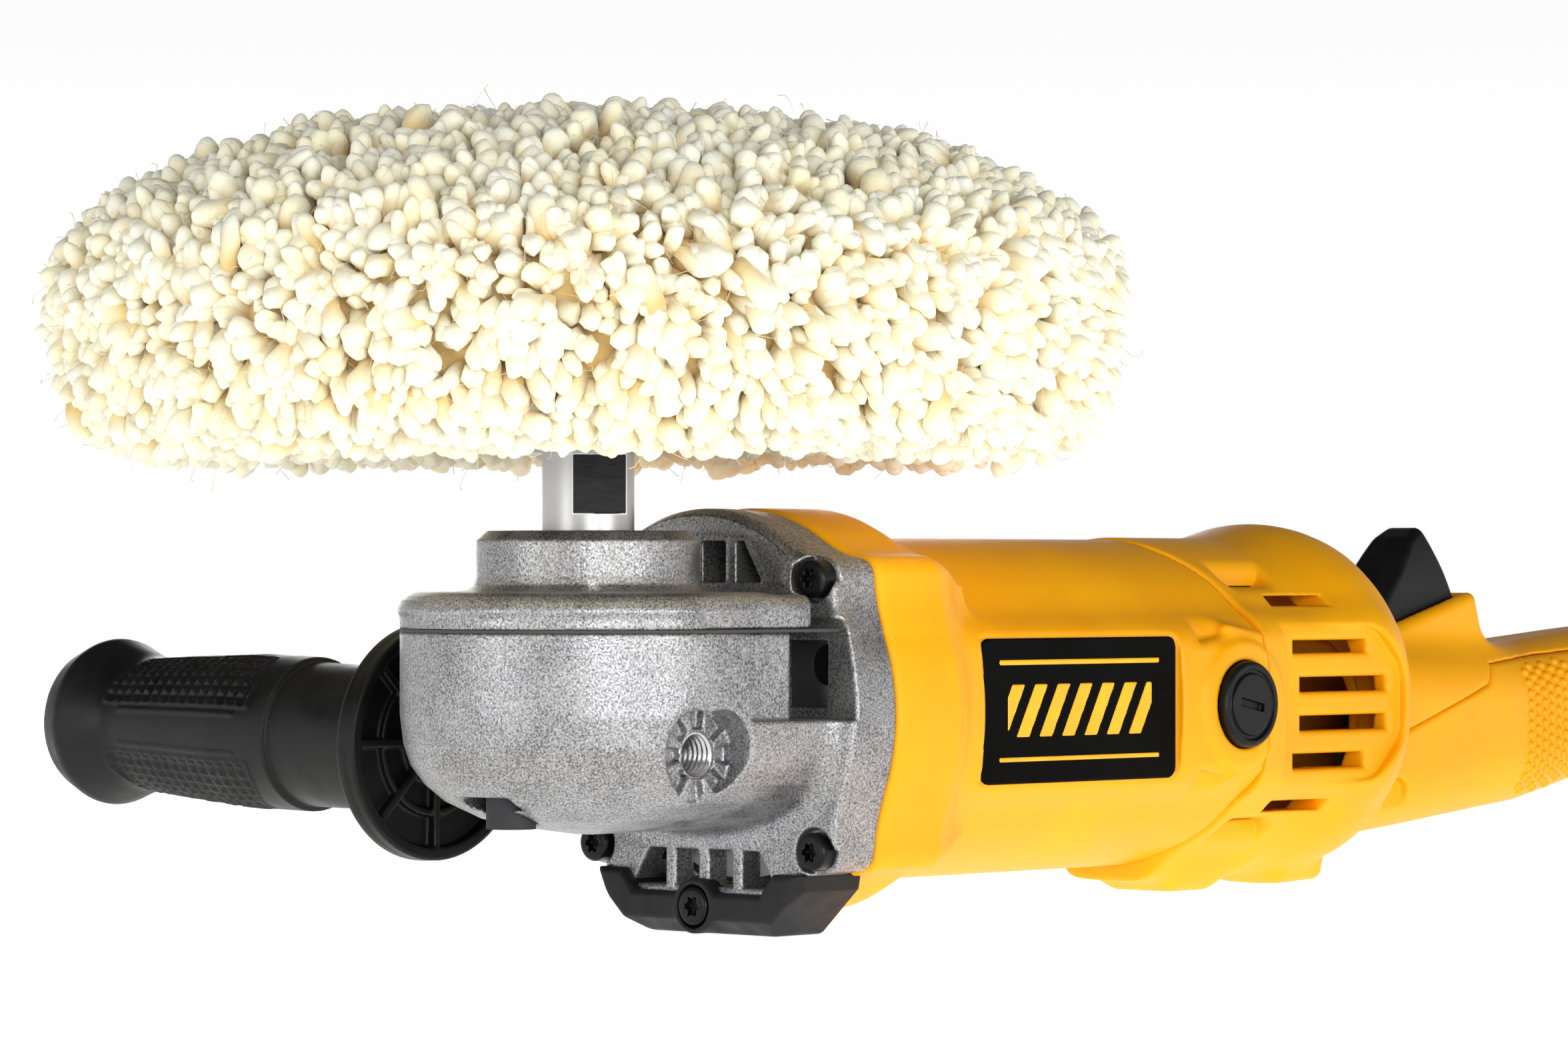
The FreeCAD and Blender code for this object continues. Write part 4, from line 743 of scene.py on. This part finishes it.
def grip_dots():
    """Small raised domes over the rear of the handle, in staggered rows on its sides."""
    points = []
    rings = [(1.15, -0.3), (1.1, 0.1), (0.78, 0.5), (0.3, 0.68)]
    turns = 8
    for column in range(DOT_COLUMNS):
        x = DOTS_START + column * DOT_PITCH
        low, high = np.interp(x, SECTIONS[:, 0], SECTIONS[:, 2]), np.interp(x, SECTIONS[:, 0], SECTIONS[:, 3])
        for row in range(-9, 10):
            z = (low + high) / 2 + (row + 0.5 * (column % 2)) * 2.35
            if not low + 2.5 < z < high - 5.0:
                continue
            for side in (-1, 1):
                points.append((x, side * 26.0, z))
    centre = np.array(points)
    for _ in range(14):
        here = handle_outer(centre)
        centre[:, 1] -= np.sign(centre[:, 1]) * here * 0.8
    small = 0.1
    slope = np.stack([handle_outer(centre + small * e) - handle_outer(centre - small * e) for e in np.eye(3)],
                     1)
    normal = slope / np.linalg.norm(slope, axis=1)[:, None]
    along = np.cross(normal, (0.0, 0.0, 1.0))
    along /= np.linalg.norm(along, axis=1)[:, None]
    across = np.cross(normal, along)
    angle = np.arange(turns) * 2 * math.pi / turns
    verts = []
    for radius, height in rings:
        for a in angle:
            verts.append(centre + normal * height + radius * (along * math.cos(a) + across * math.sin(a)))
    verts = np.stack(verts, 1)
    count = verts.shape[1]
    quad = []
    for ring in range(len(rings) - 1):
        for k in range(turns):
            a, b = ring * turns + k, ring * turns + (k + 1) % turns
            quad.append((a, a + turns, b + turns, b))
    top = (len(rings) - 1) * turns
    quad += [(top + 1, top, top + 7, top + 2), (top + 2, top + 7, top + 6, top + 3),
             (top + 3, top + 6, top + 5, top + 4)]
    quad += [(0, 1, 2, 7), (7, 2, 3, 6), (6, 3, 4, 5)]
    faces = (np.array(quad)[None] + np.arange(len(centre))[:, None, None] * count).reshape(-1, 4)
    finished(mesh_object("handle_grip_dots", verts.reshape(-1, 3), faces), YELLOW)


TRIGGER_OUTLINE = rounded([(230.5, 53), (233.5, 60.2, 2), (241, 61.4, 4), (255.5, 79, 5), (261, 82, 2.4),
                           (266.8, 71.5, 14), (270, 65.2, 2), (268, 58), (253, 53)])


def trigger(p):
    x, y, z = p.T
    shape = outline(x, z, TRIGGER_OUTLINE)
    narrow = 7.9 - 0.055 * np.maximum(z - 60, 0) - 0.012 * np.maximum(z - 68, 0) ** 2
    shape = joined(shape, np.abs(y) - narrow, 1.6)
    dished = ball(p, (222.0, 0, 93.5), 35.6)
    shape = without(shape, np.maximum(dished, 62.5 - z), 1.2)
    return without(shape, block(p, (235.5, -4.5, 50), (240.5, 4.5, 59.5), 0.5))


def make_rear():
    moulded("rear_housing_shell", rear_housing, (153, -41, 3), (228, 41, 83), 0.58, YELLOW,
            replaced=("rear_housing",))
    moulded("handle_lower_moulding", handle_field(False), (216, -22, 11), (404, 22, 66), 0.6, YELLOW,
            replaced=("handle_lower_shell",))
    moulded("handle_upper_moulding", handle_field(True), (216, -22, 34), (404, 22, 70), 0.6, YELLOW,
            replaced=("handle_upper_shell",))
    grip_dots()
    moulded("trigger_lever", trigger, (229, -10, 52), (272, 10, 83), 0.35, TRIGGER_BLACK,
            body="trigger", replaced=("trigger",))


# ---------------------------------------------------------------- side handle
GRIP = rounded([(46.4, 0), (46.4, 13.6), (52, 14.2, 3), (76.5, 14.6), (76.9, 15.6, 0.5), (93, 15.7, 20),
                (113, 14.6, 30), (127.5, 13.6, 12), (133.5, 15.8, 8), (138.5, 17.6, 4), (146.2, 14.6, 4.5),
                (148.3, 6, 4), (148.3, 0)])


def on_side(p):
    """Points along the side handle's tilted axis: across, along and up from it."""
    z = p[:, 2] - SIDE_Z
    cos, sin = math.cos(SIDE_TILT), math.sin(SIDE_TILT)
    return np.stack([p[:, 0], p[:, 1] * cos + z * sin, z * cos - p[:, 1] * sin], 1)


def side_grip(p):
    q = on_side(p)
    x, y, z = q.T
    r = np.hypot(x, z)
    shape = outline(y, r, GRIP)
    angle = np.degrees(np.arctan2(z, -x))
    folded = np.abs((angle + 90) % 180 - 90)
    taper = 3.0 * np.clip((folded - 38) / 30, 0, 1)
    panel = np.maximum(span(folded, 21, 76) * r * math.pi / 180, span(y, 82.5 + taper, 128.0 - taper))
    border = np.abs(panel) - 0.35
    along = np.abs((y / 3.0) % 1 - 0.5)
    around = np.abs((folded * 15.4 * math.pi / 180 / 2.5) % 1 - 0.5)
    spike = (0.5 - np.maximum(along, around)) * 2
    inside = np.clip(-panel / 0.8, 0, 1)
    shape = shape + inside * (0.35 - 0.75 * spike)
    shape = shape - 0.35 * np.clip(1 - np.abs(border + 0.35) / 0.55, 0, 1)
    band = np.maximum(np.abs(folded - 14.5) * r * math.pi / 180 - 0.3, span(y, 86, 123))
    shape = shape - 0.25 * np.clip(1 - np.maximum(band, 0) / 0.4, 0, 1)
    return without(shape, joined(r - STUD_BORE, span(y, 0, 70)))


def side_guard(p):
    q = on_side(p)
    x, y, z = q.T
    r, angle = np.hypot(x, z), np.arctan2(z, x)
    disc = joined(r - 23.4, span(y, 43.6, 46.0), 0.8)
    rim = joined(np.abs(r - 22.2) - 1.25, span(y, 41.2, 46), 0.5)
    hub = joined(r - 8.0, span(y, 29.4, 46), 0.4)
    rib = joined(np.maximum(np.abs(r * np.sin(eighth(angle))) - 0.8, span(r, 6, 22)), span(y, 41.6, 45), 0.3)
    ring = joined(np.abs(r - 14.0) - 0.7, span(y, 42.2, 45), 0.3)
    shape = union(union(union(disc, rim, 0.8), union(rib, ring, 0.5), 0.6), hub, 1.0)
    return without(shape, joined(r - STUD_BORE, span(y, 20, 60)))


def make_side_handle():
    moulded("side_handle_grip_moulding", side_grip, (-19, 45, 17), (19, 150, 60), 0.42, RUBBER,
            replaced=("side_handle_grip",))
    moulded("side_handle_guard_moulding", side_guard, (-25, 29, 12), (25, 47, 63), 0.4, BLACK,
            replaced=("side_handle_guard",))


# ---------------------------------------------------------------- wool pad
PILE = [(40, 96.5), (66, 94.5), (84, 93.5), (95, 97), (100, 106), (102.3, 117), (103, 125), (100.2, 133.5),
        (94.5, 139.5),
        (84, 145), (75, 149.5), (60, 154), (45, 156.5), (20, 158), (0.5, 158)]
SKIN = [(36, 100), (62, 99.5), (84, 99), (91, 103), (95.5, 113), (96.5, 124), (93.5, 130), (88, 134),
        (74, 141),
        (55, 147), (30, 150), (0, 150.5), (0, 105.4), (78.6, 105.4), (78.6, 99), (36, 99)]


def pile_points(count):
    """Places on the pile's surface with their outward directions, spread evenly by area."""
    line = np.array(PILE, float)
    fine = np.concatenate([np.linspace(a, b, 24, endpoint=False) for a, b in zip(line[:-1], line[1:])])
    width = np.linalg.norm(np.diff(fine, axis=0), axis=1)
    area = np.concatenate([[0], np.cumsum(width * (fine[:-1, 0] + fine[1:, 0]) / 2)])
    share = (np.arange(count) + 0.5) / count * area[-1]
    along = np.interp(share, area, np.arange(len(fine)))
    low = np.clip(along.astype(int), 0, len(fine) - 2)
    rz = fine[low] + (fine[low + 1] - fine[low]) * (along - low)[:, None]
    spread = 6
    way = fine[np.clip(low + spread, 0, len(fine) - 1)] - fine[np.clip(low - spread, 0, len(fine) - 1)]
    way /= np.linalg.norm(way, axis=1)[:, None]
    turn = np.arange(count) * math.pi * (3 - math.sqrt(5)) + RANDOM.normal(0, 0.012, count)
    rz += RANDOM.normal(0, 0.8, (count, 2))
    point = np.stack([rz[:, 0] * np.cos(turn), rz[:, 0] * np.sin(turn), rz[:, 1]], 1)
    normal = np.stack([way[:, 1] * np.cos(turn), way[:, 1] * np.sin(turn), -way[:, 0]], 1)
    return point, normal


def unit(vectors):
    return vectors / np.maximum(np.linalg.norm(vectors, axis=1), 1e-9)[:, None]


def strands(tips, ways, length, radius, sides, rings, bend, lobes_deep, profile):
    """Tapered, twisted and bent strands that end at the tips.

    Gives their points, their quads and each point's place along its strand, 0 at the root and 1 at the tip.
    """
    count = len(tips)
    across = unit(np.cross(ways, RANDOM.normal(0, 1, (count, 3))))
    third = np.cross(ways, across)
    phase = RANDOM.uniform(0, 2 * math.pi, count)
    twist = RANDOM.uniform(1.5, 4.0, count) * RANDOM.choice([-1, 1], count)
    curl = RANDOM.uniform(0, 2 * math.pi, count)
    points = np.zeros((count, rings, sides, 3))
    place = np.sin(np.linspace(0, math.pi / 2, rings))
    for k, s in enumerate(place):
        sway = bend * (np.sin(curl + 3.0 * s) - np.sin(curl + 3.0))
        centre = tips - ways * (length * (1 - s))[:, None] + across * sway[:, None]
        for j in range(sides):
            a = 2 * math.pi * j / sides
            lobe = 1 + lobes_deep * np.cos(3 * a + phase + twist * s * 2)
            size = radius * profile(s) * lobe
            out_u, out_v = (size * math.cos(a))[:, None], (size * math.sin(a))[:, None]
            points[:, k, j] = centre + across * out_u + third * out_v
    quad = [(j, j + 1, sides - 2 - j, sides - 1 - j) for j in range(sides // 2 - 1)]
    quad = [face[::-1] for face in quad] + [tuple(v + (rings - 1) * sides for v in face) for face in quad]
    for k in range(rings - 1):
        for j in range(sides):
            a, b = k * sides + j, k * sides + (j + 1) % sides
            quad.append((a, b, b + sides, a + sides))
    faces = (np.array(quad)[None] + (np.arange(count) * rings * sides)[:, None, None]).reshape(-1, 4)
    shade = np.broadcast_to(place[None, :, None], (count, rings, sides)).ravel()
    return points.reshape(-1, 3), faces, shade


def wool_material(name, root, tip, bump_depth):
    """Creamy curled wool, near white at the tip, with fibre-fine relief; darker towards the root as painted
    shade between the tufts.
    """
    material = surface(name, srgb(255, 246, 214), srgb(255, 253, 240), (0.8, 0.95), 0.55, bump_depth,
                       blotch=9)
    nodes, links = material.node_tree.nodes, material.node_tree.links
    shader = nodes["Principled BSDF"]
    ramp = [n for n in nodes if n.bl_idname == "ShaderNodeValToRGB"][0]
    # The place along each strand darkens its colour towards the root: painted shade between the tufts.
    along = nodes.new("ShaderNodeAttribute")
    along.attribute_name = "along"
    root_shade = nodes.new("ShaderNodeValToRGB")
    root_shade.color_ramp.elements[0].position, root_shade.color_ramp.elements[1].position = 0.25, 0.85
    root_shade.color_ramp.elements[0].color, root_shade.color_ramp.elements[1].color = root, tip
    links.new(along.outputs["Fac"], root_shade.inputs["Fac"])
    blend = nodes.new("ShaderNodeMix")
    blend.data_type, blend.blend_type = "RGBA", "MULTIPLY"
    blend.inputs["Factor"].default_value = 1.0
    links.new(ramp.outputs["Color"], blend.inputs[6])
    links.new(root_shade.outputs["Color"], blend.inputs[7])
    links.new(blend.outputs[2], shader.inputs["Base Color"])
    shader.inputs["Subsurface Weight"].default_value = 0.25
    shader.inputs["Subsurface Radius"].default_value = (0.004, 0.003, 0.002)
    shader.inputs["Subsurface Scale"].default_value = 1.0
    shader.inputs["Sheen Weight"].default_value = 0.35
    shader.inputs["Sheen Roughness"].default_value = 0.5
    return material


def with_shade(piece, shade):
    attribute = piece.data.attributes.new("along", "FLOAT", "POINT")
    attribute.data.foreach_set("value", np.asarray(shade, np.float32))


def tuft_profile(s):
    """A strand's thickness from root to rounded tip."""
    tip = math.sqrt(max(1 - (max(s - 0.78, 0) / 0.221) ** 2, 0.0))
    return (0.8 + 0.3 * math.sin(math.pi * s ** 1.3)) * tip


def pad_skin(p):
    """The closed body under the tufts, with a fine lumpy surface."""
    x, y, z = p.T
    r, angle = np.hypot(x, y), np.arctan2(y, x)
    lumps = np.sin(angle * 60) * np.sin(z * 0.9) + np.sin(angle * 37 + z * 0.4) * np.sin(r * 0.8)
    return outline(r, z, SKIN) + 0.5 * lumps


def make_wool():
    """The pile's tufts in six pieces, the loose fibres between them and the skin below."""
    wool = wool_material("lambswool", srgb(234, 208, 158), srgb(255, 255, 250), 0.12)
    fluff = wool_material("lambswool_fibres", srgb(238, 220, 180), srgb(252, 245, 224), 0.02)
    tuft_count, batches = 8000, 6
    tips, normal = pile_points(tuft_count)
    droop = np.zeros_like(normal)
    droop[:, 2] = -np.clip((128 - tips[:, 2]) / 30, -0.25, 0.75)
    waves = ((0.23, 0.11, 0.17), (-0.13, 0.25, 0.1), (0.12, -0.19, 0.27))
    lean = np.stack([np.sin(tips @ np.array(k) + k[0] * 40) for k in waves], 1)
    ways = unit(normal + 0.5 * droop + 0.36 * lean + RANDOM.normal(0, 0.22, normal.shape))
    ways = unit(ways + normal * np.maximum(0.75 - (ways * normal).sum(1), 0)[:, None])
    big = RANDOM.uniform(0, 1, tuft_count)
    radius = 1.5 + 1.1 * big ** 2
    length = RANDOM.uniform(8, 12, tuft_count)
    rise = np.clip(RANDOM.normal(0, 1.2, tuft_count), -2.5, 2) + 0.6 * (radius - 1.8)
    tips = tips + normal * rise[:, None]
    order = RANDOM.permutation(tuft_count)
    for batch, chosen in enumerate(np.array_split(order, batches)):
        points, faces, shade = strands(tips[chosen], ways[chosen], length[chosen], radius[chosen], 8, 9,
                                       RANDOM.uniform(0.3, 1.5, len(chosen)), 0.16, tuft_profile)
        piece = mesh_object(f"wool_pile_{batch + 1}", points, faces)
        with_shade(piece, shade)
        finished(piece, wool, "spindle", ("wool_pad",) if batch == 0 else ())
    fibre_count = 6000
    tips, normal = pile_points(fibre_count)
    ways = unit(normal * 0.8 + RANDOM.normal(0, 0.6, normal.shape))
    points, faces, shade = strands(tips + normal * RANDOM.uniform(-1.6, 0.7, fibre_count)[:, None], ways,
                                   RANDOM.uniform(2, 4.5, fibre_count), np.full(fibre_count, 0.085), 4, 7,
                                   RANDOM.uniform(1.4, 2.8, fibre_count), 0.0, lambda s: 1.0 - 0.6 * s)
    piece = mesh_object("wool_fibres", points, faces)
    with_shade(piece, shade)
    finished(piece, fluff, "spindle")
    base = moulded("wool_skin", pad_skin, (-99, -99, 97), (99, 99, 152), 1.3, wool, body="spindle")
    # The skin takes the colour near the roots: painted shade under the tufts.
    with_shade(base, np.full(len(base.data.vertices), 0.1))


# ---------------------------------------------------------------- studio


FLOOR_REACH, FLOOR_GLOW, AIM = 14.0, 0.86, (0.0, 0.0, 0.08)
# Each light's name, place in metres, width and power.
LIGHTS = [("front_key", (-1.4, -1.8, 0.22), 0.9, 20), ("low_fill", (-0.1, -1.9, 0.10), 0.7, 12),
          ("left_fill", (-2.0, 0.3, 0.2), 0.7, 7), ("back_rim", (1.2, 1.6, 0.4), 0.9, 9)]


def area_light(name, place, target, size, power):
    light = bpy.data.lights.new(name, "AREA")
    light.shape, light.size, light.energy = "SQUARE", size, power
    lamp = bpy.data.objects.new(name, light)
    lamp.location = place
    lamp.rotation_euler = (Vector(target) - Vector(place)).to_track_quat("-Z", "Y").to_euler()
    bpy.context.scene.collection.objects.link(lamp)


def make_studio():
    """A flat, glowing paper floor, a world white at the horizon and dark overhead, and soft lights."""
    scene = bpy.context.scene
    world = bpy.data.worlds.new("studio")
    world.use_nodes = True
    nodes, links = world.node_tree.nodes, world.node_tree.links
    sky = nodes["Background"]
    sky.inputs["Color"].default_value = (1, 1, 1, 1)
    place = nodes.new("ShaderNodeTexCoord")
    parts = nodes.new("ShaderNodeSeparateXYZ")
    height = nodes.new("ShaderNodeMapRange")
    height.interpolation_type = "SMOOTHSTEP"
    height.inputs["From Min"].default_value, height.inputs["From Max"].default_value = 0.05, 0.5
    height.inputs["To Min"].default_value, height.inputs["To Max"].default_value = 1.0, 0.08
    links.new(place.outputs["Generated"], parts.inputs["Vector"])
    links.new(parts.outputs["Z"], height.inputs["Value"])
    links.new(height.outputs["Result"], sky.inputs["Strength"])
    scene.world = world
    floor_mesh = bpy.data.meshes.new("floor")
    corners = [(u * FLOOR_REACH, v * FLOOR_REACH, 0) for u, v in ((-1, -1), (1, -1), (1, 1), (-1, 1))]
    floor_mesh.from_pydata(corners, [], [(0, 1, 2, 3)])
    floor = bpy.data.objects.new("floor", floor_mesh)
    scene.collection.objects.link(floor)
    paper = surface("paper_floor", srgb(244, 244, 243), srgb(250, 250, 249), (0.7, 0.85), 3.0, 0.02,
                    blotch=400)
    glow = paper.node_tree.nodes["Principled BSDF"].inputs
    glow["Emission Color"].default_value, glow["Emission Strength"].default_value = (1, 1, 1, 1), FLOOR_GLOW
    floor.data.materials.append(paper)
    for name, spot, size, power in LIGHTS:
        area_light(name, spot, AIM, size, power)


def make_camera():
    """A level view from 47 degrees off the motor's axis, with a long lens."""
    camera = bpy.data.cameras.new("camera")
    camera.sensor_width, camera.lens, camera.shift_y = 36.0, 131.17, 0.0323
    camera.clip_end = 100
    shown = bpy.data.objects.new("camera", camera)
    shown.location = in_frame((-778.8, -777.8, 71.0))
    shown.rotation_euler = (math.radians(90), 0, math.radians(-47))
    bpy.context.scene.collection.objects.link(shown)
    bpy.context.scene.camera = shown
    bpy.context.scene.view_settings.view_transform = "Standard"


finish_cad_nodes()
make_gear_head()
make_motor_housing()
make_rear()
make_side_handle()
make_wool()
make_studio()
make_camera()
